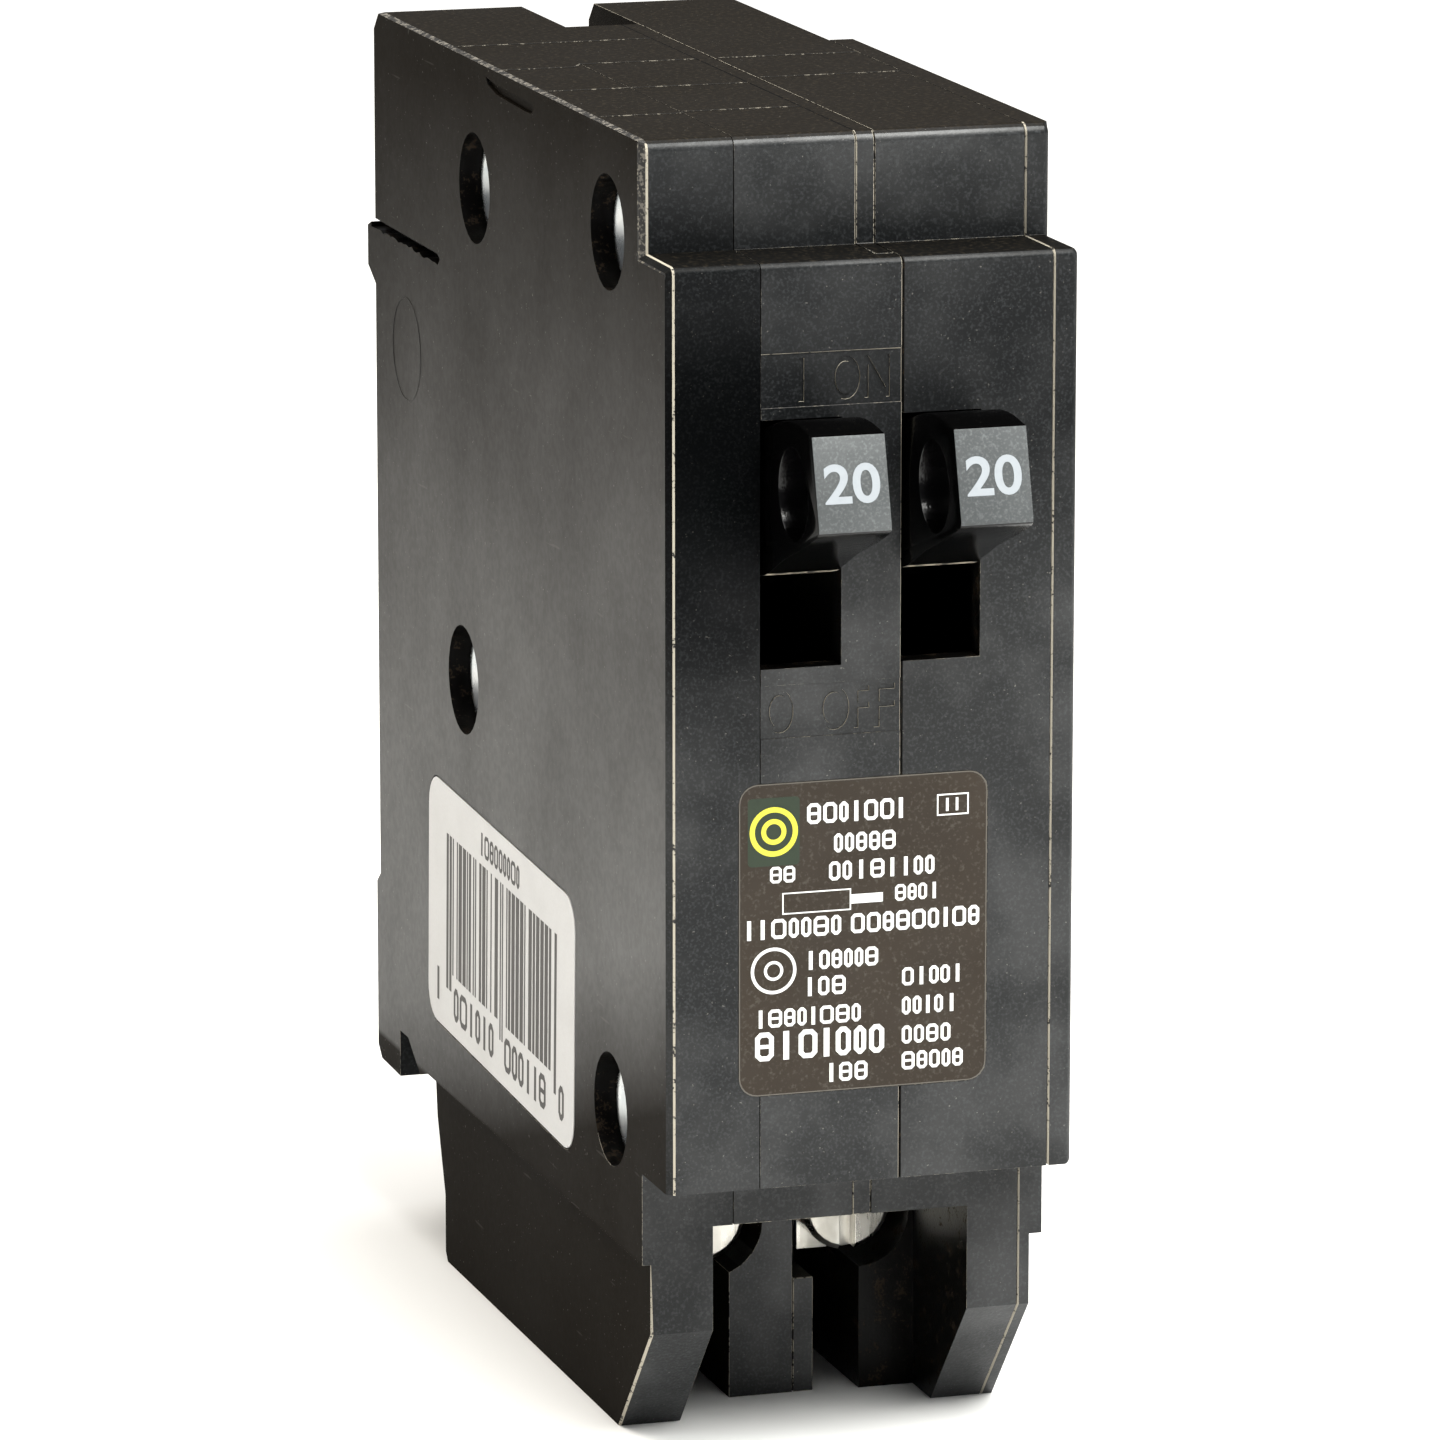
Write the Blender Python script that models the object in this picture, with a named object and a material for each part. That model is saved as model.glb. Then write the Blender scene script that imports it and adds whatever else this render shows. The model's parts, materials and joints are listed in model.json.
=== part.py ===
"""Tandem plug-on circuit breaker: two narrow poles in one stack of moulded cases.

All sizes below are millimetres in the case's own frame: x runs across the stack from the left
outer face, y runs into the depth from the front face, z runs up from the front face's lower edge.
ORIGIN moves that frame to the part's frame (metres, +Z up, origin under the middle of the part).
"""
import math

import bmesh
import bpy
from mathutils import Matrix, Vector

MM = 0.001

# ---- driving dimensions -------------------------------------------------------------------
WIDTH = 25.4            # one inch: the pitch of the panel's breaker positions
FACE_HEIGHT = 55.8      # front face
STEP_BACK = 5.3         # the top and the load end stand this far behind the front face
TOP_HEIGHT = 62.5
DEPTH = 65.0            # front face to back face
BACK_LUG = 66.9         # the small lug that stands proud of the back
LEG_DROP = 17.7         # how far the legs reach below the front face
LIP_DROP = 3.6          # lower edge of the wall above the terminals
RIDGE = -5.7            # below this line both outer sides are set in
SIDE_INSET = 0.55

# Labels lie in shallow recesses, so that the faces they are on stay the outermost ones
LABEL_SUNK = 0.02       # from the face down to the label
LABEL_THICK = 0.12
RECESS_DEPTH = 0.18
RECESS_MARGIN = 0.12    # round the label's outline

SEAM = 0.06             # gap between neighbouring mouldings
WALL = 1.5
ROOF_FRONT = 37.2       # behind this depth the left moulding's roof also covers the middle one
FRONT_PLATE = 1.5       # the middle moulding's front covers the partition's edge, this thick

# The stack of mouldings, from left to right
LEFT_END = 5.76
MIDDLE_END = 13.31
PARTITION_END = 14.49
RIGHT_END = 23.87

# Load end
LEG_BEND = -10.1
LEG_FRONT = 12.1        # where the slanted front of a leg meets its foot
LEG_BACK = 51.0
LEFT_LEG_IN = 4.45
RIGHT_LEG_IN = 20.6
POST_FRONT = 15.9
POST_LEFT = 8.77
POST_SEAM = 12.85
POST_RIGHT = 14.2
BLOCK_LEFT = 17.06      # thickened inner side of the right leg
CHAMBER_BACK = 28.8
CHAMBER_WALL = 1.4
TAB_TOP = -10.4         # the partition's foot is cut away above this height

# Terminals
SCREW_Z = -6.6
SCREW_FACE = 17.6
SCREW_HEAD_R = 2.8
SCREW_HEAD_LENGTH = 2.6
SCREW_SHANK_R = 1.5
SCREW_END = 26.4
WELL_R = 3.3
TERMINAL_Y = 24.2
TERMINAL_THICK = 1.4
PLATE_HALF = 2.45

# Handles
HANDLE_WIDTH = 4.45
HANDLE_PIVOT = (10.0, 38.85)
HANDLE_TILT = 15.5      # degrees above level with the breaker on
SLOT_LOW = 31.6
SLOT_HIGH = 46.5
TIE_HOLE = (15.5, 0.0)
TIE_HOLE_R = 2.75
ARM_PIVOT = (14.5, 37.65)

# Bus connection
SLOT_LEFT = 9.6
SLOT_FRONT = 53.6
SLOT_FLOOR = 45.4
JAW_Z = 46.0
JAW_THICK = 0.9

RIVETS = ((41.2, 54.4), (12.1, 56.1), (44.4, 22.4), (11.9, 2.4))
RIVET_HEAD_R = 3.2
RIVET_R = 1.4
COUNTERBORE_R = 3.5
COUNTERBORE_DEPTH = 2.9
RIVET_HEAD_THICK = 1.3
BOSS_R = 4.5
INNER_BOSS_R = 2.9

LEVER_PIVOT = (36.0, 48.6)
ARMATURE_PIVOT = (20.2, 9.0)

# One pole: middle plane of its handle, middle of its screw, inner face of the floor beside it
POLES = {
    "a": {"x": 8.35, "screw_x": 7.6, "floor": 12.2},
    "b": {"x": 17.0, "screw_x": 17.0, "floor": 22.7},
}

COLOURS = {             # base colour, roughness, metallic
    "case": ((0.016, 0.016, 0.017), 0.42, 0.0),
    "handle": ((0.012, 0.012, 0.013), 0.35, 0.0),
    "label": ((0.020, 0.016, 0.013), 0.45, 0.0),
    "sticker": ((0.62, 0.60, 0.57), 0.55, 0.0),
    "zinc": ((0.62, 0.63, 0.64), 0.30, 1.0),
    "copper": ((0.72, 0.36, 0.22), 0.35, 1.0),
    "silver": ((0.80, 0.79, 0.76), 0.30, 1.0),
    "steel": ((0.42, 0.42, 0.43), 0.38, 1.0),
    "fibre": ((0.30, 0.05, 0.04), 0.75, 0.0),
    "bimetal": ((0.52, 0.48, 0.42), 0.35, 1.0),
}


# ---- outlines -----------------------------------------------------------------------------
def arc(centre, radius, start, end, steps):
    """Points on a round stretch, angles in degrees."""
    angles = [math.radians(start + (end - start) * i / steps) for i in range(steps + 1)]
    return [(centre[0] + radius * math.cos(a), centre[1] + radius * math.sin(a)) for a in angles]


def rounded(corners, radius, steps=3):
    """A polygon with every corner rounded to the same radius."""
    points = []
    for i, corner in enumerate(corners):
        here = Vector(corner)
        to_last = (Vector(corners[i - 1]) - here).normalized()
        to_next = (Vector(corners[(i + 1) % len(corners)]) - here).normalized()
        half = to_last.angle(to_next) / 2
        reach = radius / math.tan(half)
        centre = here + (to_last + to_next).normalized() * radius / math.sin(half)
        first, last = here + to_last * reach - centre, here + to_next * reach - centre
        sweep = first.angle_signed(last)
        for k in range(steps + 1):
            turn = Matrix.Rotation(-sweep * k / steps, 2)
            points.append(tuple(centre + turn @ first))
    return points


def turned_about(points, pivot, degrees):
    """Points of the (y, z) plane turned about a pivot; positive lifts what lies in front of it."""
    c, s = math.cos(math.radians(degrees)), math.sin(math.radians(degrees))
    return [(pivot[0] - (u * c - v * s), pivot[1] + u * s + v * c) for u, v in points]


def body_outline():
    """Side outline of the case above its legs, with the rail hook at the lower back."""
    return [
        (0, 0), (0, FACE_HEIGHT), (STEP_BACK, FACE_HEIGHT), (STEP_BACK, TOP_HEIGHT),
        (DEPTH - 1.2, TOP_HEIGHT), (DEPTH, TOP_HEIGHT - 1.2),
        (DEPTH, 48.9), (BACK_LUG, 48.2), (BACK_LUG, 45.6), (DEPTH, 44.6),
        (DEPTH, 5.2), (DEPTH + 0.9, 4.5), (DEPTH + 0.9, -6.6), (DEPTH, -7.4),
        (60.4, -7.5), (60.4, -4.4), (58.4, -4.4), (55.5, -6.2), (53.7, RIDGE),
        (CHAMBER_BACK + CHAMBER_WALL, RIDGE), (CHAMBER_BACK + CHAMBER_WALL, -LIP_DROP),
        (STEP_BACK, -LIP_DROP), (STEP_BACK, 0),
    ]


def cavity_outline():
    """Side outline of the space inside the walls."""
    top = TOP_HEIGHT - WALL
    return [
        (WALL, WALL), (WALL, FACE_HEIGHT - WALL), (STEP_BACK + WALL, FACE_HEIGHT - WALL),
        (STEP_BACK + WALL, top), (DEPTH - WALL, top), (DEPTH - WALL, 0.5),
        (DEPTH - WALL, -2.2), (STEP_BACK + WALL, -2.2), (STEP_BACK + WALL, WALL),
    ]


def roof_outline():
    """Side outline of the left moulding's roof where it reaches across the middle one."""
    front, under = ROOF_FRONT + SEAM, TOP_HEIGHT - WALL
    return [(front, under), (front, TOP_HEIGHT), (DEPTH - 1.2, TOP_HEIGHT),
            (DEPTH, TOP_HEIGHT - 1.2), (DEPTH, under)]


def front_label_outline(margin=0):
    left, right, low, high = 4.5 - margin, 19.8 + margin, 5.8 - margin, 24.6 + margin
    return rounded([(left, low), (right, low), (right, high), (left, high)], 1.1 + margin, 4)


def side_label_outline(margin=0):
    """The long sticker lies a little askew."""
    half_long, half_high = 16.7 + margin, 8.1 + margin
    tilt, middle = math.radians(2.1), (36.3, 6.1)
    corners = [(-half_long, -half_high), (half_long, -half_high), (half_long, half_high),
               (-half_long, half_high)]
    return [(middle[0] + y * math.cos(tilt) - z * math.sin(tilt),
             middle[1] + y * math.sin(tilt) + z * math.cos(tilt))
            for y, z in rounded(corners, 2.1 + margin, 4)]


def leg_outline():
    """Side outline of one leg, with the slanted front and the cranked back edge."""
    return [
        (STEP_BACK, RIDGE), (STEP_BACK, LEG_BEND), (LEG_FRONT, -LEG_DROP),
        (LEG_BACK, -LEG_DROP), (LEG_BACK + 0.5, -LEG_DROP + 0.6), (LEG_BACK + 0.5, -13.3),
        (53.3, -8.5), (53.7, RIDGE),
    ]


def handle_outline():
    """Side outline of a handle; u points out of the case and v up, both from the pivot."""
    crown = arc((13.9, -8.2), 12.6, 92, 66, 5)      # falls gently towards the tip
    top = [(10.6, 4.3)] + crown + [(20.0, 2.9)]
    under = [(20.0, -2.5)] + arc((19.6, -2.5), 0.4, 0, -90, 2) + [(16.9, -3.25), (13.1, -3.55)]
    root = [(8.9, -4.2)] + arc((0, 0), 4.2, -60, -115, 4)
    # the inner end carries the contact arm's pin
    reach, rise = ARM_PIVOT[0] - HANDLE_PIVOT[0], ARM_PIVOT[1] - HANDLE_PIVOT[1]
    c, s = math.cos(math.radians(HANDLE_TILT)), math.sin(math.radians(HANDLE_TILT))
    inner = (-reach * c + rise * s, reach * s + rise * c)
    lug = arc(inner, 2.1, 250, 110, 6)
    back = arc((0, 0), 4.2, 115, 60, 4)
    return top + under + root + lug + back


def handle_front():
    """How far the tip of the handle stands in front of the case (a negative y)."""
    return min(y for y, _ in turned_about(handle_outline(), HANDLE_PIVOT, HANDLE_TILT))


ORIGIN = Vector((WIDTH / 2, (BACK_LUG + handle_front()) / 2, -LEG_DROP))


# ---- solids -------------------------------------------------------------------------------
def to_part(point):
    """A point of the case's frame, in millimetres, in the part's frame, in metres."""
    return (Vector(point) - ORIGIN) * MM


def make(name, points, faces):
    """One object from points in the case's frame; its faces are turned to point out."""
    mesh = bpy.data.meshes.new(name)
    mesh.from_pydata([to_part(p) for p in points], [], faces)
    work = bmesh.new()
    work.from_mesh(mesh)
    bmesh.ops.remove_doubles(work, verts=work.verts, dist=1e-7)
    bmesh.ops.recalc_face_normals(work, faces=work.faces)
    work.to_mesh(mesh)
    work.free()
    obj = bpy.data.objects.new(name, mesh)
    bpy.context.scene.collection.objects.link(obj)
    return obj


def prism(name, outline, low, high, axis="x"):
    """An outline pushed along one axis. The outline is (y, z), (x, z) or (x, y)."""
    place = {
        "x": lambda a, b, d: (d, a, b),
        "y": lambda a, b, d: (a, d, b),
        "z": lambda a, b, d: (a, b, d),
    }[axis]
    count = len(outline)
    points = [place(a, b, d) for d in (low, high) for a, b in outline]
    faces = [list(range(count)), list(range(count, 2 * count))]
    faces += [[i, (i + 1) % count, (i + 1) % count + count, i + count] for i in range(count)]
    return make(name, points, faces)


def block(name, x, y, z):
    """A rectangular block between two values on each axis."""
    return prism(name, [(y[0], z[0]), (y[1], z[0]), (y[1], z[1]), (y[0], z[1])], x[0], x[1])


def turned(name, profile, centre, axis="x", steps=24):
    """A turned piece: profile is (place along the axis, radius), centre the other two values."""
    points, faces = [], []
    for along, radius in profile:
        for a, b in arc(centre, radius, 0, 360 * (steps - 1) / steps, steps - 1):
            points.append((along, a, b) if axis == "x" else (a, along, b))
    for ring in range(len(profile) - 1):
        base = ring * steps
        for i in range(steps):
            j = (i + 1) % steps
            faces.append([base + i, base + j, base + steps + j, base + steps + i])
    faces.append(list(range(steps)))
    faces.append(list(range(len(points) - steps, len(points))))
    obj = make(name, points, faces)
    obj.data.shade_smooth()
    obj.data.set_sharp_from_angle(angle=math.radians(35))
    return obj


def rod(name, radius, low, high, centre, axis="x", steps=20):
    """A plain round bar."""
    return turned(name, [(low, radius), (high, radius)], centre, axis, steps)


def sweep(name, route, radius, sides=8):
    """A round wire along a list of points, with flat ends."""
    route = [Vector(p) for p in route]
    points, faces = [], []
    side = Vector((1, 0, 0))
    for i, here in enumerate(route):
        ahead = (route[min(i + 1, len(route) - 1)] - route[max(i - 1, 0)]).normalized()
        side = (side - ahead * side.dot(ahead)).normalized()
        other = ahead.cross(side)
        for a, b in arc((0, 0), radius, 0, 360 * (sides - 1) / sides, sides - 1):
            points.append(here + side * a + other * b)
    for ring in range(len(route) - 1):
        base = ring * sides
        for i in range(sides):
            j = (i + 1) % sides
            faces.append([base + i, base + j, base + sides + j, base + sides + i])
    faces.append(list(range(sides)))
    faces.append(list(range(len(points) - sides, len(points))))
    obj = make(name, points, faces)
    obj.data.shade_smooth()
    return obj


def smooth_route(knots, steps=5):
    """A smooth line through a few points (Catmull-Rom)."""
    knots = [Vector(k) for k in knots]
    ends = [knots[0] * 2 - knots[1]] + knots + [knots[-1] * 2 - knots[-2]]
    line = []
    for a, b, c, d in zip(ends, ends[1:], ends[2:], ends[3:]):
        for k in range(steps):
            t = k / steps
            line.append(0.5 * (2 * b + (c - a) * t + (2 * a - 5 * b + 4 * c - d) * t * t
                               + (3 * b - a - 3 * c + d) * t ** 3))
    return line + [knots[-1]]


def combine(base, tools, operation):
    """Boolean with each tool in turn; the tools are used up."""
    for tool in tools:
        step = base.modifiers.new(operation, "BOOLEAN")
        step.operation, step.solver, step.object = operation, "EXACT", tool
    bpy.context.view_layer.update()
    graph = bpy.context.evaluated_depsgraph_get()
    old = base.data
    result = bpy.data.meshes.new_from_object(base.evaluated_get(graph))
    base.modifiers.clear()
    base.data = result
    result.name = base.name
    bpy.data.meshes.remove(old)
    for tool in tools:
        bpy.data.objects.remove(tool)
    return base


def add(base, *tools):
    return combine(base, tools, "UNION")


def cut(base, *tools):
    return combine(base, tools, "DIFFERENCE")


def finish(obj, colour):
    """Gives the object its own material."""
    material = bpy.data.materials.new(obj.name)
    material.use_nodes = True
    shader = material.node_tree.nodes["Principled BSDF"]
    tint, roughness, metallic = COLOURS[colour]
    shader.inputs["Base Color"].default_value = (*tint, 1.0)
    shader.inputs["Roughness"].default_value = roughness
    shader.inputs["Metallic"].default_value = metallic
    obj.data.materials.clear()
    obj.data.materials.append(material)
    return obj


# ---- mouldings ----------------------------------------------------------------------------
def bosses(low, high, radius):
    """Pillars round the four rivets, webbed to the nearest wall where they stand clear of it."""
    pillars = [rod("boss", radius, low, high, spot) for spot in RIVETS]
    webs = [
        block("web", (low, high), (RIVETS[0][0] - 0.7, RIVETS[0][0] + 0.7), (56, TOP_HEIGHT - 1)),
        block("web", (low, high), (RIVETS[2][0], DEPTH - 1), (RIVETS[2][1] - 0.7, RIVETS[2][1] + 0.7)),
    ]
    return pillars + webs


def rivet_bores():
    return [rod("bore", RIVET_R + 0.2, -1, WIDTH + 1, spot) for spot in RIVETS]


def counterbores(low, high):
    return [rod("counterbore", COUNTERBORE_R, low, high, spot, steps=28) for spot in RIVETS]


def pin_boss(low, high, pivot, mouth, radius=2.0, bore=1.2, depth=1.1):
    """A boss for the end of a pin and the blind hole in it; mouth is the side it opens on."""
    hole = (mouth - 0.2, mouth + depth) if mouth <= low else (mouth - depth, mouth + 0.2)
    return rod("boss", radius, low, high, pivot), rod("hole", bore, *hole, pivot)


def screw_well(x, back=POST_FRONT + 8):
    return rod("well", WELL_R, POST_FRONT - 2, back, (x, SCREW_Z), axis="y", steps=32)


def plate_recess(low, high):
    """Room behind the well for the pressure plate, the terminal and the screw's end."""
    return block("recess", (low, high), (20.3, CHAMBER_BACK), (-10.4, -LIP_DROP))


def label_recess():
    """The shallow bed of the rating label, cut into each moulding that it crosses."""
    return prism("recess", front_label_outline(RECESS_MARGIN), -1, RECESS_DEPTH, axis="y")


def stab_slot(high):
    return block("stab_slot", (SLOT_LEFT, high), (SLOT_FRONT, BACK_LUG + 1),
                 (SLOT_FLOOR, TOP_HEIGHT + 1))


def handle_slot(left, right):
    return block("slot", (left, right), (-1, WALL + 1), (SLOT_LOW, SLOT_HIGH))


def strap_slot(x):
    return block("slot", (x - 1.9, x + 1.9), (TERMINAL_Y - 0.4, TERMINAL_Y + TERMINAL_THICK + 0.4),
                 (-LIP_DROP - 1, -1.5))


def left_case():
    """Left shell: outer wall, rim, the left leg and the counterbores for the rivet heads."""
    high = LEFT_END - SEAM
    shell = prism("left_case", body_outline(), 0, high)
    cut(shell, prism("cavity", cavity_outline(), WALL, high + 1))
    roof = prism("roof", roof_outline(), high - 0.5, MIDDLE_END - SEAM)
    leg = prism("leg", leg_outline(), SIDE_INSET, LEFT_LEG_IN)
    foot = block("joint", (0, LEFT_LEG_IN), (STEP_BACK, 53.7), (RIDGE - 0.2, -2.4))
    pin, hole = pin_boss(WALL - 0.2, high - 0.6, HANDLE_PIVOT, high - 0.6)
    add(shell, roof, leg, foot, *bosses(WALL - 0.2, high, BOSS_R), pin)
    cut(shell, *counterbores(-1, COUNTERBORE_DEPTH), *rivet_bores(), hole,
        stab_slot(MIDDLE_END + 1), label_recess(),
        prism("recess", side_label_outline(RECESS_MARGIN), -1, RECESS_DEPTH))
    trim = block("ridge", (-1, SIDE_INSET), (STEP_BACK - 1, 53.7), (-LEG_DROP - 1, RIDGE))
    cut(shell, trim, strap_slot(POLES["a"]["screw_x"]))
    return finish(shell, "case")


def middle_case():
    """Tray of the left pole: it carries the left window, half the post and the stab slot."""
    low, high, floor = LEFT_END, MIDDLE_END - SEAM, POLES["a"]["floor"]
    tray = prism("middle_case", body_outline(), low, high)
    cut(tray, prism("cavity", cavity_outline(), low - 1, floor))
    post = block("post", (POST_LEFT, POST_SEAM), (POST_FRONT, CHAMBER_BACK + CHAMBER_WALL),
                 (-LEG_DROP, -LIP_DROP + 0.5))
    back = block("back", (LEFT_LEG_IN + 0.3, POST_LEFT + 0.5),
                 (CHAMBER_BACK, CHAMBER_BACK + CHAMBER_WALL), (-LEG_DROP, -LIP_DROP))
    back_top = block("back", (low, POST_LEFT + 0.5),
                     (CHAMBER_BACK, CHAMBER_BACK + CHAMBER_WALL), (-LIP_DROP - 1, -2.4))
    plate = block("plate", (high - 0.5, PARTITION_END - SEAM), (0, FRONT_PLATE), (0, FACE_HEIGHT))
    pin, hole = pin_boss(10.9, floor + 0.2, HANDLE_PIVOT, 10.9)
    lever, lever_hole = pin_boss(10.9, floor + 0.2, LEVER_PIVOT, 10.9, bore=0.9, depth=1.0)
    add(tray, post, back, back_top, plate, *bosses(low, floor + 0.2, INNER_BOSS_R), pin, lever)
    x = POLES["a"]["screw_x"]
    cut(tray, screw_well(x, 24), plate_recess(low, POST_LEFT + 1.9), strap_slot(x),
        handle_slot(low - 1, 10.73), *rivet_bores(), hole, lever_hole)
    cut(tray, stab_slot(high + 1), label_recess(),
        block("under_roof", (low - 1, high + 1), (ROOF_FRONT, BACK_LUG + 1),
              (TOP_HEIGHT - WALL - SEAM, TOP_HEIGHT + 1)),
        block("jaw_window", (floor - 1, high + 1), (50.4, 60), (SLOT_FLOOR, TOP_HEIGHT - WALL)))
    return finish(tray, "case")


def partition():
    """Thin plate between the poles; its foot completes the post."""
    low, high = MIDDLE_END, PARTITION_END - SEAM
    plate = prism("partition", body_outline(), low, high)
    foot = prism("foot", [
        (POST_FRONT, -LEG_DROP), (CHAMBER_BACK + CHAMBER_WALL, -LEG_DROP),
        (CHAMBER_BACK + CHAMBER_WALL, RIDGE + 1), (23, RIDGE + 1), (23, TAB_TOP), (POST_FRONT, TAB_TOP),
    ], POST_SEAM + SEAM, POST_RIGHT)
    wall = block("wall", (low, high), (CHAMBER_BACK, CHAMBER_BACK + CHAMBER_WALL), (-LEG_DROP, -4))
    add(plate, foot, wall)
    pocket = rod("pocket", 1.2, high - 0.6, high + 1, HANDLE_PIVOT)
    cut(plate,
        block("behind_middle", (0, low), (0, 40), (RIDGE, -LIP_DROP + 4)),
        block("behind_plate", (low - 1, high + 1), (-1, FRONT_PLATE + SEAM), (-1, FACE_HEIGHT + 1)),
        stab_slot(high + 1),
        block("jaw_window", (low - 1, high + 1), (50.4, 60), (SLOT_FLOOR, TOP_HEIGHT - WALL)),
        *rivet_bores(), pocket)
    return finish(plate, "case")


def right_case():
    """Tray of the right pole, with the right window and the right leg."""
    low, high, floor = PARTITION_END, RIGHT_END - SEAM, POLES["b"]["floor"]
    tray = prism("right_case", body_outline(), low, high)
    cut(tray, prism("cavity", cavity_outline(), low - 1, floor))
    leg = prism("leg", leg_outline(), RIGHT_LEG_IN, high)
    foot = block("joint", (RIGHT_LEG_IN, high), (STEP_BACK, 53.7), (RIDGE - 0.2, -2.4))
    thick = block("thick", (BLOCK_LEFT, RIGHT_LEG_IN + 0.5), (15.6, CHAMBER_BACK + CHAMBER_WALL),
                  (-LEG_DROP, -LIP_DROP + 0.5))
    back = block("back", (low, BLOCK_LEFT + 0.5), (CHAMBER_BACK, CHAMBER_BACK + CHAMBER_WALL),
                 (-LEG_DROP, -LIP_DROP + 0.5))
    pin, hole = pin_boss(19.6, floor + 0.2, HANDLE_PIVOT, 19.6)
    lever, lever_hole = pin_boss(19.6, floor + 0.2, LEVER_PIVOT, 19.6, bore=0.9, depth=1.0)
    add(tray, leg, foot, thick, back, *bosses(low, floor + 0.2, INNER_BOSS_R), pin, lever)
    x = POLES["b"]["screw_x"]
    cut(tray, screw_well(x, 24), plate_recess(low, x + PLATE_HALF + 0.5), strap_slot(x),
        handle_slot(low - 1, 19.37), *rivet_bores(), hole, lever_hole, label_recess())
    return finish(tray, "case")


def right_cover():
    """Outer plate on the right; the rivets' closed heads sit in its four holes."""
    outline = body_outline()
    spot = outline.index((DEPTH - 1.2, TOP_HEIGHT))
    outline[spot:spot + 2] = [(43, TOP_HEIGHT), (43, TOP_HEIGHT - 1.4), (DEPTH, TOP_HEIGHT - 1.4)]
    plate = prism("right_cover", outline, RIGHT_END, WIDTH)
    leg = prism("leg", leg_outline(), RIGHT_END, WIDTH - SIDE_INSET - 0.25)
    foot = block("joint", (RIGHT_END, WIDTH), (STEP_BACK, 53.7), (RIDGE - 0.2, -3))
    add(plate, leg, foot)
    cut(plate, *counterbores(RIGHT_END - 1, WIDTH + 1))
    trim = block("ridge", (WIDTH - SIDE_INSET - 0.25, WIDTH + 1), (STEP_BACK - 1, 53.7),
                 (-LEG_DROP - 1, RIDGE))
    cut(plate, trim)
    return finish(plate, "case")


def rivet(number, spot):
    """Shouldered rivet through the whole stack, both heads sunk below the outer faces."""
    left, right = COUNTERBORE_DEPTH - 0.05, RIGHT_END + 0.05
    obj = turned(f"rivet_{number}", [
        (left - RIVET_HEAD_THICK, RIVET_HEAD_R - 0.5), (left - RIVET_HEAD_THICK + 0.3, RIVET_HEAD_R),
        (left, RIVET_HEAD_R),
        (left, RIVET_R), (right, RIVET_R), (right, RIVET_HEAD_R - 0.4),
        (right + 0.7, RIVET_HEAD_R - 0.4), (right + 1.0, RIVET_HEAD_R - 0.9),
    ], spot, steps=28)
    return finish(obj, "zinc")


def labels():
    """Rating label across the front face and the long sticker on the left face."""
    low, high = LABEL_SUNK, LABEL_SUNK + LABEL_THICK
    finish(prism("front_label", front_label_outline(), low, high, axis="y"), "label")
    finish(prism("side_label", side_label_outline(), low, high), "sticker")


# ---- bus connection -----------------------------------------------------------------------
def line_jaw():
    """Copper base under both fixed contacts, with two fingers that grip the bus stab."""
    low, high = JAW_Z, JAW_Z + JAW_THICK
    left, right = SLOT_LEFT + 0.35, PARTITION_END - 0.45
    base = block("line_jaw", (6.6, 18.7), (50.9, 53.9), (low, high))
    tongues = [block("tongue", (pole["x"] - 1.7, pole["x"] + 1.7), (44.2, 51.5), (low, high))
               for pole in POLES.values()]
    shelf = block("shelf", (left, right), (53, 63.5), (low, high))
    finger = [(54.2, low + 0.2), (63.0, low + 0.2), (64.2, 48.5), (64.2, 55), (62.4, 57), (54.2, 57)]
    grip = [prism("finger", finger, left, left + JAW_THICK),
            prism("finger", finger, right - JAW_THICK, right)]
    return finish(add(base, *tongues, shelf, *grip), "copper")


def jaw_spring():
    """Steel clip that presses the two fingers together from below."""
    left, right = SLOT_LEFT + 0.1, PARTITION_END - 0.18
    clip = block("jaw_spring", (left - 0.3, right + 0.1), (56.2, 60.8), (JAW_Z - 0.45, JAW_Z - 0.1))
    return finish(clip, "steel")


# ---- one pole -----------------------------------------------------------------------------
def handle(tag, x):
    """Rocking handle with the tie hole near its tip and a fork for the contact arm inside."""
    side = turned_about(handle_outline(), HANDLE_PIVOT, HANDLE_TILT)
    half = HANDLE_WIDTH / 2
    body = prism(f"handle_{tag}", side, x - half, x + half)
    tie = turned_about([TIE_HOLE], HANDLE_PIVOT, HANDLE_TILT)[0]
    cut(body,
        rod("tie", TIE_HOLE_R, x - 9, x + 9, tie, steps=32),
        rod("pivot", 1.2, x - 9, x + 9, HANDLE_PIVOT),
        rod("pin", 0.8, x - 9, x + 9, ARM_PIVOT, steps=16),
        block("fork", (x - 0.9, x + 0.9), (12.4, 20), (30, 44)))
    return finish(body, "handle")


def contact_arm(tag, x):
    """Copper blade from the handle's fork to the moving contact."""
    outline = arc(ARM_PIVOT, 1.6, 95, 280, 10) + [
        (30, 39.3), (44.2, 41.4), (47.6, 41.5), (47.6, 43.55), (43.8, 43.55), (30, 41.7)]
    blade = prism(f"contact_arm_{tag}", outline, x - 0.6, x + 0.6)
    cut(blade, rod("pin", 0.8, x - 2, x + 2, ARM_PIVOT, steps=16))
    return finish(blade, "copper")


def contacts(tag, x):
    """The silver faces that meet when the breaker is on."""
    middle = (x, 45.8)
    for name, low, high in (("moving_contact", 43.65, 44.7), ("fixed_contact", 44.85, 45.9)):
        disc = prism(f"{name}_{tag}", arc(middle, 1.45, 0, 345, 23), low, high, axis="z")
        finish(disc, "silver")


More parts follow.
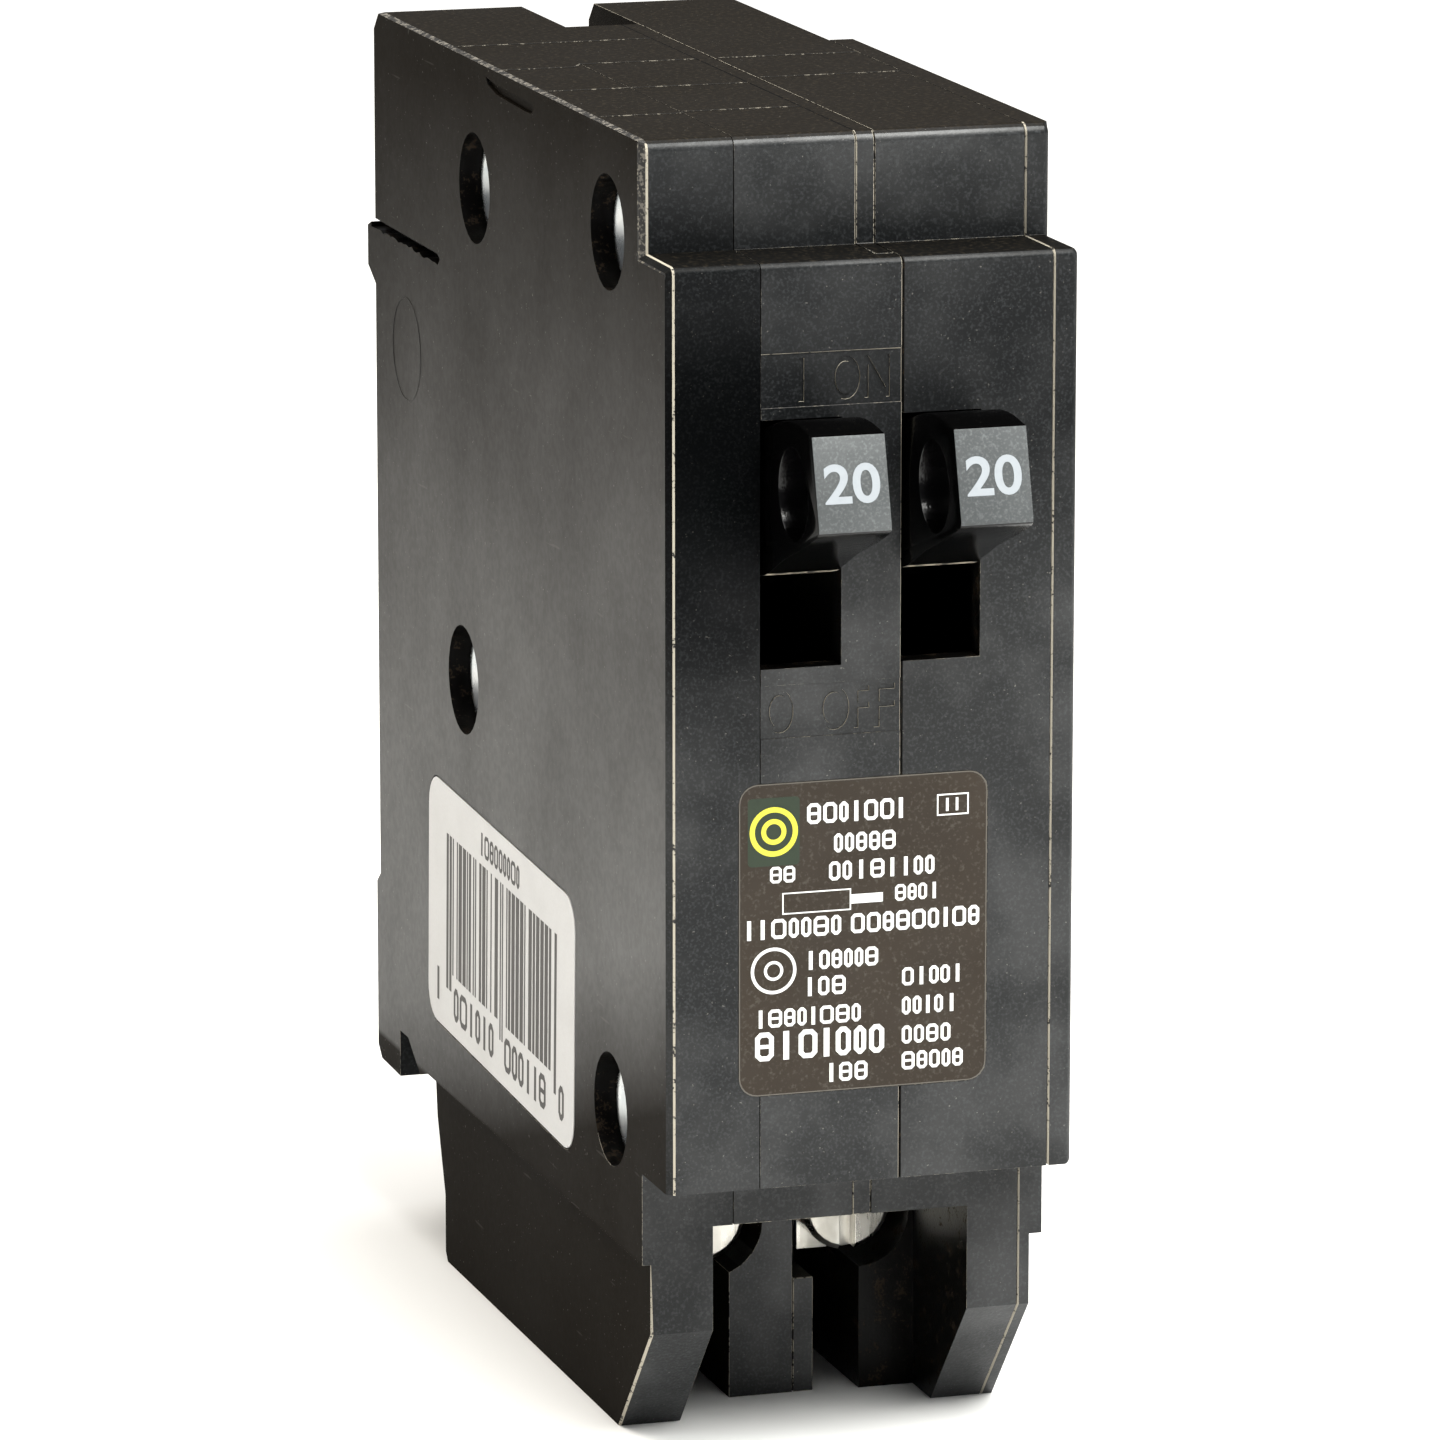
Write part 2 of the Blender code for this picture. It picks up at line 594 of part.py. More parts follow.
def pins(tag, x):
    finish(rod(f"handle_pin_{tag}", 1.0, x - 2.75, x + 3.35, HANDLE_PIVOT), "steel")
    finish(rod(f"arm_pin_{tag}", 0.6, x - 2.0, x + 2.0, ARM_PIVOT, steps=16), "steel")
    finish(rod(f"lever_pin_{tag}", 0.75, x + 1.0, x + 3.3, LEVER_PIVOT, steps=16), "steel")


def trip_lever(tag, x):
    """Cradle that the handle works against; its front end latches beside the armature."""
    outline = arc(LEVER_PIVOT, 2.0, -80, 80, 8) + [
        (22, 48.0), (19.4, 46.4), (18.7, 44), (18.7, 31.2), (20.4, 31.2), (20.6, 43.2), (23, 45.4)]
    plate = prism(f"trip_lever_{tag}", outline, x + 1.3, x + 2.1)
    cut(plate, rod("pin", 0.95, x, x + 4, LEVER_PIVOT, steps=16))
    return finish(plate, "steel")


def toggle_spring(tag, x):
    """Coil spring along the top of the contact arm."""
    start, end = Vector((x, 20.5, 42.0)), Vector((x, 33.0, 43.8))
    turns, per_turn, coil_r = 8, 10, 0.95
    along = end - start
    lift = Vector((0, -along.z, along.y)).normalized()
    route = []
    for i in range(turns * per_turn + 1):
        angle = 2 * math.pi * i / per_turn
        centre = start + along * i / (turns * per_turn)
        route.append(centre + Vector((1, 0, 0)) * coil_r * math.cos(angle) + lift * coil_r * math.sin(angle))
    return finish(sweep(f"toggle_spring_{tag}", route, 0.2, sides=6), "steel")


def trip_unit(tag, x):
    """Bimetal strip, the magnet yoke round it and the armature in front of the yoke."""
    strip = block(f"bimetal_{tag}", (x - 1.1, x + 1.1), (24.6, 25.4), (2.3, 30))
    finish(strip, "bimetal")
    channel = [(x - 2.2, 22.6), (x - 1.4, 22.6), (x - 1.4, 25.75), (x + 1.4, 25.75),
               (x + 1.4, 22.6), (x + 2.2, 22.6), (x + 2.2, 26.6), (x - 2.2, 26.6)]
    finish(prism(f"yoke_{tag}", channel, 12.5, 22.5, axis="z"), "steel")
    plate = [(19.8, 8.4), (20.6, 8.4), (20.6, 33), (19.8, 33)]
    finish(prism(f"armature_{tag}", plate, x - 1.9, x + 1.0), "steel")


def braid(tag, x):
    """Flexible copper lead from the top of the bimetal to the side of the contact arm."""
    knots = [(x, 26.35, 29.0), (x - 0.5, 28.6, 27.9), (x - 1.2, 31.2, 31.0),
             (x - 1.5, 31.2, 35.4), (x - 1.55, 29.0, 38.4)]
    return finish(sweep(f"braid_{tag}", smooth_route(knots), 0.65), "copper")


def load_terminal(tag, x):
    """Copper strap with the clamp face at its foot; its top carries the bimetal."""
    back = TERMINAL_Y + TERMINAL_THICK
    plate = block(f"load_terminal_{tag}", (x - PLATE_HALF, x + PLATE_HALF), (TERMINAL_Y, back), (-10, -3.95))
    strap = block("strap", (x - 1.5, x + 1.5), (TERMINAL_Y, back), (-4.5, 2.0))
    hole = rod("hole", SCREW_SHANK_R + 0.2, TERMINAL_Y - 1, back + 1, (x, SCREW_Z), axis="y")
    return finish(cut(add(plate, strap), hole), "copper")


def clamp(tag, x):
    """Pressure plate behind the screw's head."""
    plate = block(f"pressure_plate_{tag}", (x - 2.4, x + 2.4), (20.5, 21.7), (-9.9, -4.0))
    hole = rod("hole", SCREW_SHANK_R + 0.2, 19, 23, (x, SCREW_Z), axis="y")
    return finish(cut(plate, hole), "zinc")


def terminal_screw(tag, x):
    """Slotted screw that faces the front."""
    back = SCREW_FACE + SCREW_HEAD_LENGTH
    screw = turned(f"terminal_screw_{tag}", [
        (SCREW_FACE, SCREW_HEAD_R - 0.35), (SCREW_FACE + 0.35, SCREW_HEAD_R), (back, SCREW_HEAD_R),
        (back, SCREW_SHANK_R), (SCREW_END - 0.6, SCREW_SHANK_R), (SCREW_END, SCREW_SHANK_R - 0.5),
    ], (x, SCREW_Z), axis="y", steps=28)
    cut(screw, block("slot", (x - 0.5, x + 0.5), (SCREW_FACE - 1, SCREW_FACE + 1.1), (-12, 0)))
    return finish(screw, "zinc")


def arc_chute(tag, x):
    """Steel plates that split the arc, and the fibre sheet that holds them."""
    for i in range(3):
        low = 31.0 + 3.6 * i
        plate = [(x - 2.0, 49.4), (x - 0.9, 49.4), (x, 51.4), (x + 0.9, 49.4), (x + 2.0, 49.4),
                 (x + 2.0, 57.8), (x - 2.0, 57.8)]
        finish(prism(f"arc_plate_{tag}_{i + 1}", plate, low, low + 0.9, axis="z"), "steel")
    finish(block(f"arc_sheet_{tag}", (x - 2.1, x + 2.1), (58.1, 58.9), (29.5, 41.0)), "fibre")


# ---- joint axes ---------------------------------------------------------------------------
def axis_empty(name, point, parent=None):
    """An empty on a joint's axis."""
    empty = bpy.data.objects.new(name, None)
    empty.empty_display_size = 0.004
    empty.location = to_part(point)
    bpy.context.scene.collection.objects.link(empty)
    bpy.context.view_layer.update()
    if parent:
        hang(parent, empty)
    return empty


def hang(parent, *children):
    """Parents without moving the children."""
    bpy.context.view_layer.update()
    for child in children:
        child.parent = parent
        child.matrix_parent_inverse = parent.matrix_world.inverted()
    bpy.context.view_layer.update()


def joint_axes(tag, x, screw_x):
    node = bpy.data.objects
    turn = axis_empty(f"axis_handle_{tag}", (x, *HANDLE_PIVOT))
    hang(turn, node[f"handle_{tag}"], node[f"arm_pin_{tag}"])
    swing = axis_empty(f"axis_arm_{tag}", (x, *ARM_PIVOT), turn)
    hang(swing, node[f"contact_arm_{tag}"], node[f"moving_contact_{tag}"], node[f"toggle_spring_{tag}"])
    hang(axis_empty(f"axis_lever_{tag}", (x, *LEVER_PIVOT)), node[f"trip_lever_{tag}"])
    hang(axis_empty(f"axis_armature_{tag}", (x, *ARMATURE_PIVOT)), node[f"armature_{tag}"])
    slide = axis_empty(f"axis_clamp_{tag}", (screw_x, 21.1, SCREW_Z))
    hang(slide, node[f"pressure_plate_{tag}"])
    hang(axis_empty(f"axis_screw_{tag}", (screw_x, SCREW_FACE, SCREW_Z), slide),
         node[f"terminal_screw_{tag}"])


def main():
    for obj in list(bpy.data.objects):
        bpy.data.objects.remove(obj)
    left_case()
    middle_case()
    partition()
    right_case()
    right_cover()
    for number, spot in enumerate(RIVETS, 1):
        rivet(number, spot)
    labels()
    line_jaw()
    jaw_spring()
    for tag, pole in POLES.items():
        x, screw_x = pole["x"], pole["screw_x"]
        handle(tag, x)
        contact_arm(tag, x)
        contacts(tag, x)
        pins(tag, x)
        trip_lever(tag, x)
        toggle_spring(tag, x)
        trip_unit(tag, x)
        braid(tag, x)
        load_terminal(tag, screw_x)
        clamp(tag, screw_x)
        terminal_screw(tag, screw_x)
        arc_chute(tag, x)
        joint_axes(tag, x, screw_x)


main()
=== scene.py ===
"""Looks of a tandem plug-on circuit breaker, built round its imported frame.

Sizes are millimetres in the case's own frame unless a name says otherwise: x runs across the
stack from the left outer face, y into the depth from the front face, z up from the front face's
lower edge. at() turns such a point into the part's frame, in metres.
"""
import json
import math
import random

import bmesh
import bpy
from mathutils import Matrix, Vector


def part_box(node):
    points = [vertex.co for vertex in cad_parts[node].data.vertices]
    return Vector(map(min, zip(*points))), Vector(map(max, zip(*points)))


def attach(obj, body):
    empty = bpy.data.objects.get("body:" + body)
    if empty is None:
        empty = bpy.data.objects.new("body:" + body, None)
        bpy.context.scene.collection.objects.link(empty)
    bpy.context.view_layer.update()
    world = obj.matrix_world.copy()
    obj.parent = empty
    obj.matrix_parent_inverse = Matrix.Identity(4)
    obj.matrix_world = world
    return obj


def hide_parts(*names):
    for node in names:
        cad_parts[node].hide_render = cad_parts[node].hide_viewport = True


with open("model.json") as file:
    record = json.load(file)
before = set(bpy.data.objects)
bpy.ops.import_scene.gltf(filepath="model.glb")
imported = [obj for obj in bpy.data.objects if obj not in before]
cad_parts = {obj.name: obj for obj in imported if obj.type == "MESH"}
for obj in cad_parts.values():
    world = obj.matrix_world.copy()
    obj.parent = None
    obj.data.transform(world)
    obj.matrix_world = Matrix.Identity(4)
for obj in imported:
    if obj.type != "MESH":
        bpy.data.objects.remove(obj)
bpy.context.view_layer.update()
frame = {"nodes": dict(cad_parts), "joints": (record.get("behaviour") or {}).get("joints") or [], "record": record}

MM = 0.001

# ---- the case's frame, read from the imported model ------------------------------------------
LEG_DROP = 17.7              # how far the legs hang below the front face
LEFT_LOW, LEFT_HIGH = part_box("left_case")
RIGHT_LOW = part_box("right_case")[0]
ORIGIN = Vector((LEFT_LOW.x, RIGHT_LOW.y, LEFT_LOW.z + LEG_DROP * MM))


def at(x, y, z):
    return ORIGIN + Vector((x, y, z)) * MM


def in_case(point):
    """The case's own millimetres for a point of the part's frame."""
    return (Vector(point) - ORIGIN) / MM


WIDTH = (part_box("right_cover")[1].x - LEFT_LOW.x) / MM
TOP_HEIGHT = (LEFT_HIGH.z - ORIGIN.z) / MM
FACE_HEIGHT = 55.8           # top of the front part, where the ledge is
STEP_BACK = 5.3              # how far the front above the ledge lies back
DEPTH = 65.0
SEAM_1 = (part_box("middle_case")[0].x - ORIGIN.x) / MM
SEAM_2 = 13.28               # between the middle moulding and the partition
SEAM_3 = (RIGHT_LOW.x - ORIGIN.x) / MM
SEAM_4 = (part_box("right_cover")[0].x - ORIGIN.x) / MM
PLATE_RIGHT = (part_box("middle_case")[1].x - ORIGIN.x) / MM    # right edge of the middle front plate
RIDGE = -5.7                 # below this line both outer sides are set in
LEG_FRONT = 12.1             # where the slanted front of a leg meets its foot
LIP_LOW = -3.6               # lower edge of the front lip, over the wire channels
RIGHT_LEG_IN = 20.6          # inner face of the right leg
WINDOW_LOW, WINDOW_HIGH = 31.0, 47.0
RIVET_NUMBERS = range(1, 5)
RIVET_SPOTS = [in_case(sum(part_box(f"rivet_{number}"), Vector()) / 2) for number in RIVET_NUMBERS]
BORE = 3.7                   # radius around a rivet that holds its counterbore
SLIT_FRONT = 49.9            # front end of the slit in the left face
SLIT_LOW, SLIT_HIGH = 48.2, 48.9
ON_PLATE = (47.2, 50.4)      # heights of the beds of the moulded words
OFF_PLATE = (27.4, 30.6)
ON_WORD, OFF_WORD = 48.8, 29.0                                # and of the words' middles
LETTER = 2.6                 # height of their letters
HANDLE_TILT = math.radians(15.5)
CHAMFER = 0.4                # along the left outer edge of the front and the top
EDGE_WIDTHS = {4: 0.17, 3: 0.14, 2: 0.11, 1: 0.10, 0: 0.08}   # small bevels, by level of wear
BEAD = 0.10                  # width of the fine raised mould lines on the top
BEAD_HIGH = 0.03
LABEL = (4.5, 5.8, 19.8, 24.6)                                # left, low, right and high edge
SHEET_BACK, SHEET_FACE = 0.12, -0.02                          # depth of a label in its recess
JOINTS = {joint["name"]: joint for joint in frame["joints"]}


# ---- materials -----------------------------------------------------------------------------
# Gloss runs from 0 to 1, and the reflected light goes with its power GLOSS_CURVE.
GLOSS_CURVE = 2.2
FLANK_GLOSS = 0.74
ROOF_GLOSS = 0.24
# The shares below paint the flanks' sheen by place: painted shade dims it near the top, the lower edge and on the
# legs.
LEAST_GLOSS = 0.12           # nowhere on the flanks does a smaller share of FLANK_GLOSS show
TOP_GLOSS = 0.13             # the share near the top,
LOW_GLOSS = 0.14             # near the lower edge
LEG_GLOSS = 0.25             # and on the legs


class Nodes:
    """Shorthand for one material's node tree."""

    def __init__(self, name):
        self.material = bpy.data.materials.new(name)
        self.material.use_nodes = True
        self.tree = self.material.node_tree
        self.shader = self.tree.nodes["Principled BSDF"]
        self.place = self.add("ShaderNodeTexCoord").outputs["Object"]

    def add(self, kind, inputs=None, **settings):
        node = self.tree.nodes.new(kind)
        for key, value in settings.items():
            setattr(node, key, value)
        for key, value in (inputs or {}).items():
            self.put(node.inputs[key], value)
        return node

    def put(self, socket, value):
        if isinstance(value, bpy.types.NodeSocket):
            self.tree.links.new(value, socket)
        elif isinstance(value, tuple) and len(value) == 3 and socket.type == "RGBA":
            socket.default_value = (*value, 1)
        else:
            socket.default_value = value

    def noise(self, size, detail=3.0, stretch=(1, 1, 1), seed=0.0):
        """Noise from 0 to 1 whose features are about size millimetres across."""
        place = self.add("ShaderNodeMapping", {"Vector": self.place, "Scale": stretch,
                                               "Location": (seed, seed * 0.7, seed * 1.3)})
        node = self.add("ShaderNodeTexNoise", {
            "Vector": place.outputs[0], "Scale": 1 / (size * MM), "Detail": detail})
        return node.outputs["Fac"]

    def ramp(self, value, low, high, start=0.0, end=1.0):
        """Maps low..high to start..end with soft ends."""
        node = self.add("ShaderNodeMapRange", {"Value": value, "From Min": low, "From Max": high,
                                               "To Min": start, "To Max": end})
        node.interpolation_type = "SMOOTHSTEP"
        return node.outputs[0]

    def slope(self, value, low, high, start, end):
        """Maps low..high to start..end in a straight line, and holds both ends."""
        return self.add("ShaderNodeMapRange", {"Value": value, "From Min": low, "From Max": high,
                                               "To Min": start, "To Max": end}).outputs[0]

    def blend(self, share, a, b):
        """A number between two numbers."""
        node = self.add("ShaderNodeMix", data_type="FLOAT")
        for place, value in zip((0, 2, 3), (share, a, b)):
            self.put(node.inputs[place], value)
        return node.outputs[0]

    def mix(self, share, a, b):
        """A colour between two colours."""
        node = self.add("ShaderNodeMix", data_type="RGBA")
        for place, value in zip((0, 6, 7), (share, a, b)):
            self.put(node.inputs[place], value)
        return node.outputs[2]

    def math(self, operation, a, b=0.0):
        node = self.add("ShaderNodeMath", operation=operation)
        self.put(node.inputs[0], a)
        self.put(node.inputs[1], b)
        return node.outputs[0]

    def bump(self, height, depth, strength=1.0, under=None):
        """Bump of depth millimetres."""
        inputs = {"Height": height, "Distance": depth * MM, "Strength": strength}
        if under:
            inputs["Normal"] = under
        return self.add("ShaderNodeBump", inputs).outputs[0]

    def facing(self, axis):
        """How far the surface faces along an axis, from -1 to 1."""
        normal = self.add("ShaderNodeNewGeometry").outputs["True Normal"]
        split = self.add("ShaderNodeSeparateXYZ", {0: normal})
        return split.outputs["XYZ".index(axis)]

    def height(self):
        """Height above the front face's lower edge, in metres."""
        split = self.add("ShaderNodeSeparateXYZ", {0: self.place})
        return self.math("SUBTRACT", split.outputs[2], ORIGIN.z)

    def depth(self):
        """Distance behind the case's front, in metres."""
        split = self.add("ShaderNodeSeparateXYZ", {0: self.place})
        return self.math("SUBTRACT", split.outputs[1], ORIGIN.y)

    def shade(self, **values):
        """Sets the shader's inputs and gives back the finished material."""
        names = {"colour": "Base Color", "roughness": "Roughness", "metallic": "Metallic",
                 "specular": "Specular IOR Level", "normal": "Normal"}
        for key, value in values.items():
            self.put(self.shader.inputs[names[key]], value)
        return self.material


def scaled(colour, share):
    return tuple(channel * share for channel in colour)


def painted_flank_sheen(n, height):
    """Gloss of the flanks, set by place to paint their sheen, with painted shade that takes it away towards the
    top, the back, the lower edge and the legs.
    """
    low_front = n.math("ADD", height, n.math("MULTIPLY", n.depth(), 0.3))
    fade = n.math("MULTIPLY", n.slope(height, 0.014, 0.062, 1.0, TOP_GLOSS),
                  n.slope(low_front, 0.005, 0.0155, LOW_GLOSS, 1.0))
    fade = n.math("MULTIPLY", fade, n.slope(height, -0.0059, -0.0055, LEG_GLOSS, 1.0))
    fade = n.math("MULTIPLY", fade, n.ramp(n.noise(4.0, 5.0, seed=31.0), 0.35, 0.65, 0.95, 1.03))
    fade = n.math("MULTIPLY", fade, n.slope(n.depth(), 0.0, 0.065, 1.07, 0.70))
    return n.math("MULTIPLY", n.math("MAXIMUM", fade, LEAST_GLOSS), FLANK_GLOSS)


def top_shade_and_grit(n, base, dark, upward, height, dust):
    """The colour of the surfaces that look up: darker, black on the ledge with painted shade, with grit lying
    there.
    """
    black = scaled(dark, 0.3)
    from_ledge = n.math("ABSOLUTE", n.math("SUBTRACT", height, FACE_HEIGHT * MM))
    # Painted shade on the ledge at the foot of the step.
    ledge = n.math("MULTIPLY", upward, n.ramp(from_ledge, 0.0006, 0.0010, 0.75, 0.0))
    base = n.mix(ledge, base, black)
    base = n.mix(n.math("MULTIPLY", upward, 0.2), base, black)
    grit = n.ramp(n.noise(0.32, 4.0, seed=41.0), 0.50, 0.74, 0.0, dust)
    return n.mix(n.math("MULTIPLY", grit, upward), base, (0.050, 0.040, 0.027))


def moulded_plastic(name, dark, light, rough=(0.38, 0.45), specular=0.5, grain=0.6, speckle=0.4,
                    shade_band=None, reflection_tint=(0.0112, 0.0090, 0.0064), roof=ROOF_GLOSS, dust=0.3):
    """Black thermoset: a pebbled skin with pale grains, smoother on its sides and top, which are tinted browner as
    a painted reflection.

    The band of painted shade across the front is given as (height, half height, lowest gloss there,
    gloss elsewhere): there the gloss drops and the colour darkens. roof is the gloss and dust the grit of the
    surfaces that look up.
    """
    n = Nodes(name)
    flank = n.ramp(n.math("ABSOLUTE", n.facing("X")), 0.6, 0.95)
    upward = n.ramp(n.facing("Z"), 0.6, 0.95)
    smooth = n.math("MAXIMUM", flank, upward)
    pebbled = n.math("SUBTRACT", 1.0, n.math("MULTIPLY", smooth, 0.9))
    height = n.height()
    cloud = n.ramp(n.noise(6.0, 4.0), 0.35, 0.68)
    base = n.mix(cloud, dark, light)
    # Painted reflection: the sides and top take a browner tint for the light they mirror.
    base = n.mix(n.math("MULTIPLY", smooth, 0.9), base, reflection_tint)
    pale = n.ramp(n.noise(0.17, 2.0, seed=9.0), 0.45, 0.75, 0.0, grain)
    base = n.mix(n.math("MULTIPLY", pale, pebbled), base, scaled(light, 3.0))
    specks = n.ramp(n.noise(0.2, 1.0, seed=17.0), 0.74, 0.80, 0.0, speckle)
    base = n.mix(specks, base, (0.24, 0.23, 0.21))
    scratches = n.ramp(n.noise(0.35, 1.0, stretch=(1, 0.06, 0.8), seed=21.0), 0.76, 0.8, 0.0, 0.10)
    base = n.mix(n.math("MULTIPLY", scratches, flank), base, (0.2, 0.19, 0.17))
    front = n.slope(cloud, 0, 1, 0.80, 1.04)
    # Painted shade: a band across the front loses its gloss and darkens.
    if shade_band:
        middle, reach, lowest, elsewhere = shade_band
        away = n.math("ABSOLUTE", n.math("SUBTRACT", height, middle * MM))
        front = n.math("MULTIPLY", front, n.ramp(away, 0.0, reach * MM, lowest, elsewhere))
        painted_shade = n.ramp(away, 0.0, reach * MM, 0.9 * (1 - lowest) ** 2, 0.0)
        base = n.mix(n.math("MULTIPLY", painted_shade, pebbled), base, scaled(dark, 0.2))
    base = top_shade_and_grit(n, base, dark, upward, height, dust)
    gloss = n.blend(upward, n.blend(flank, front, painted_flank_sheen(n, height)), roof)
    skin = n.bump(n.noise(0.24, 3.0, seed=1.0), 0.019, n.math("MULTIPLY", pebbled, 0.9))
    waves = n.bump(n.noise(5.0, 1.0, seed=5.0), 0.004, 0.3, under=skin)
    dull = n.ramp(n.noise(20.0, 2.0, seed=7.0), 0.32, 0.7, *rough)
    fine = n.ramp(n.noise(0.5, 2.0, seed=2.0), 0.3, 0.7, -0.02, 0.02)
    return n.shade(colour=base, roughness=n.math("ADD", dull, fine), normal=waves,
                   specular=n.math("MULTIPLY", n.math("POWER", gloss, GLOSS_CURVE), specular))


def worn_edge(name, amount, cream=(0.46, 0.42, 0.34), dark=(0.020, 0.019, 0.018), grain=0.9,
              gloss=(0.42, 0.25)):
    """The edge of a moulding: black where it is whole, cream where the skin has chipped off."""
    n = Nodes(name)
    coarse = n.noise(grain, 3.0, seed=11.0)
    fine = n.noise(0.18, 2.0, seed=13.0)
    mask = n.math("ADD", n.math("MULTIPLY", coarse, 0.55), n.math("MULTIPLY", fine, 0.45))
    edge = 0.62 - 0.26 * amount
    chipped = n.ramp(mask, edge - 0.035, edge + 0.05)
    colour = n.mix(n.math("MULTIPLY", chipped, min(1.0, 0.35 + amount * 0.6)), dark, cream)
    return n.shade(colour=colour, roughness=n.ramp(chipped, 0, 1, gloss[0], 0.75), specular=gloss[1],
                   normal=n.bump(fine, 0.02, 0.6))


def printed_film(name):
    """The dark film of the rating label, dusty and a little glossy."""
    n = Nodes(name)
    base = n.mix(n.noise(5.0, 3.0, seed=4.0), (0.0175, 0.0120, 0.0070), (0.0300, 0.0210, 0.0130))
    dust = n.ramp(n.noise(0.22, 3.0, seed=6.0), 0.52, 0.76, 0.0, 0.5)
    base = n.mix(dust, base, (0.085, 0.075, 0.060))
    return n.shade(colour=base, roughness=n.ramp(n.noise(2.5, 3.0), 0.3, 0.7, 0.34, 0.48),
                   specular=0.25, normal=n.bump(n.noise(0.5, 2.0), 0.01, 0.3))


def ink(name, colour, patch=0.12):
    """Printing ink, a little uneven."""
    n = Nodes(name)
    base = n.mix(n.ramp(n.noise(0.35, 2.0, seed=8.0), 0.5, 0.8, 0.0, patch * 4),
                 colour, scaled(colour, 0.72))
    return n.shade(colour=base, roughness=0.55, specular=0.3,
                   normal=n.bump(n.noise(0.2, 2.0), 0.004, 0.4))


def paper(name):
    """The sticker's pale paper, with fibres and grey patches."""
    n = Nodes(name)
    fibre = n.noise(0.35, 4.0, stretch=(1, 1, 2.2))
    base = n.mix(fibre, (0.57, 0.56, 0.55), (0.63, 0.625, 0.615))
    base = n.mix(n.ramp(n.noise(7.0, 3.0, seed=2.0), 0.45, 0.75, 0.0, 0.5), base, (0.53, 0.52, 0.51))
    return n.shade(colour=base, roughness=0.6, specular=0.3, normal=n.bump(fibre, 0.01, 0.35))


def metal(name, colour, tarnish, rough=(0.22, 0.4), grain=(1, 1, 1), spots=0.0):
    """Worked metal: drawn grain, tarnish in patches and small pits."""
    n = Nodes(name)
    patch = n.ramp(n.noise(2.4, 4.0, seed=3.0), 0.38, 0.72)
    base = n.mix(patch, colour, tarnish)
    drawn = n.noise(0.12, 3.0, stretch=grain, seed=1.0)
    pits = n.ramp(n.noise(0.3, 2.0, seed=6.0), 0.68, 0.78, 0.0, spots)
    base = n.mix(pits, base, scaled(tarnish, 0.35))
    dull = n.ramp(n.noise(0.7, 3.0, stretch=grain, seed=2.0), 0.3, 0.7, *rough)
    return n.shade(colour=base, metallic=1.0, roughness=dull,
                   normal=n.bump(drawn, 0.006, 0.5, under=n.bump(pits, 0.02, 0.4)))


def fibre_board(name):
    """The red fibre of the arc sheets."""
    n = Nodes(name)
    weave = n.noise(0.3, 3.0, stretch=(1, 1, 4))
    base = n.mix(weave, (0.20, 0.030, 0.022), (0.36, 0.075, 0.05))
    return n.shade(colour=base, roughness=0.8, normal=n.bump(weave, 0.03, 0.6))


def floor_material():
    n = Nodes("floor")
    base = n.mix(n.noise(900, 2.0), (0.83, 0.83, 0.825), (0.85, 0.85, 0.845))
    return n.shade(colour=base, roughness=0.9, specular=0.05)


DARK, LIGHT = (0.0062, 0.0070, 0.0076), (0.0120, 0.0128, 0.0136)
# Both carry a band of painted shade across the front; the left moulding's is darker and wider, and its front is a
# little less glossy elsewhere.
CASE = moulded_plastic("case_plastic_black", DARK, LIGHT, shade_band=(48.0, 16.0, 0.62, 1.0))
LEFT_CASE = moulded_plastic("case_plastic_shaded", DARK, LIGHT, shade_band=(44.5, 20.5, 0.0, 0.88))
HANDLE_SIDE = moulded_plastic("handle_plastic_gloss", (0.0012, 0.0012, 0.0014), (0.002, 0.002, 0.0022),
                              rough=(0.16, 0.22), specular=0.42, grain=0.05, speckle=0.05,
                              reflection_tint=(0.001, 0.001, 0.001), roof=0.1, dust=0.0)
HANDLE_TIP = moulded_plastic("handle_plastic_matt", (0.066, 0.071, 0.073), (0.090, 0.096, 0.098),
                             rough=(0.5, 0.6), specular=0.3, grain=0.22, speckle=0.22)
WORN = [worn_edge(f"worn_edge_{level}", amount)      # worn scarcely, here and there, and all along
        for level, amount in ((1, 0.3), (2, 0.62), (3, 0.85))]
# Painted shade for the walls of bores, windows, the slit and the right wire channel; it is also the dark of the
# seam grooves.
DEEP = worn_edge("sunk_wall", 0.15, cream=(0.05, 0.035, 0.022), dark=(0.0028, 0.0026, 0.0024),
                 gloss=(0.30, 0.08))
RUBBED = worn_edge("rubbed_edge", 0.38, cream=(0.23, 0.21, 0.18), grain=0.5)
FLAKED = worn_edge("flaked_edge", 0.5, cream=(0.50, 0.44, 0.34), grain=0.4)
PLASTIC_SLOT, PALE_SLOT, DEEP_SLOT, RUBBED_SLOT = 0, 3, 4, 5     # a moulding's material slots
FILM = printed_film("label_film")
WHITE_INK = ink("white_ink", (0.80, 0.80, 0.78))
NUMBER_INK = ink("number_ink", (0.31, 0.335, 0.36), 0.05)
EDGE_INK = ink("label_edge", (0.11, 0.10, 0.085), 0.2)
YELLOW_INK = ink("yellow_ink", (0.70, 0.66, 0.06))
GREEN_INK = ink("green_ink", (0.022, 0.034, 0.020))
DARK_INK = ink("dark_ink", (0.045, 0.040, 0.036))
PAPER = paper("sticker_paper")
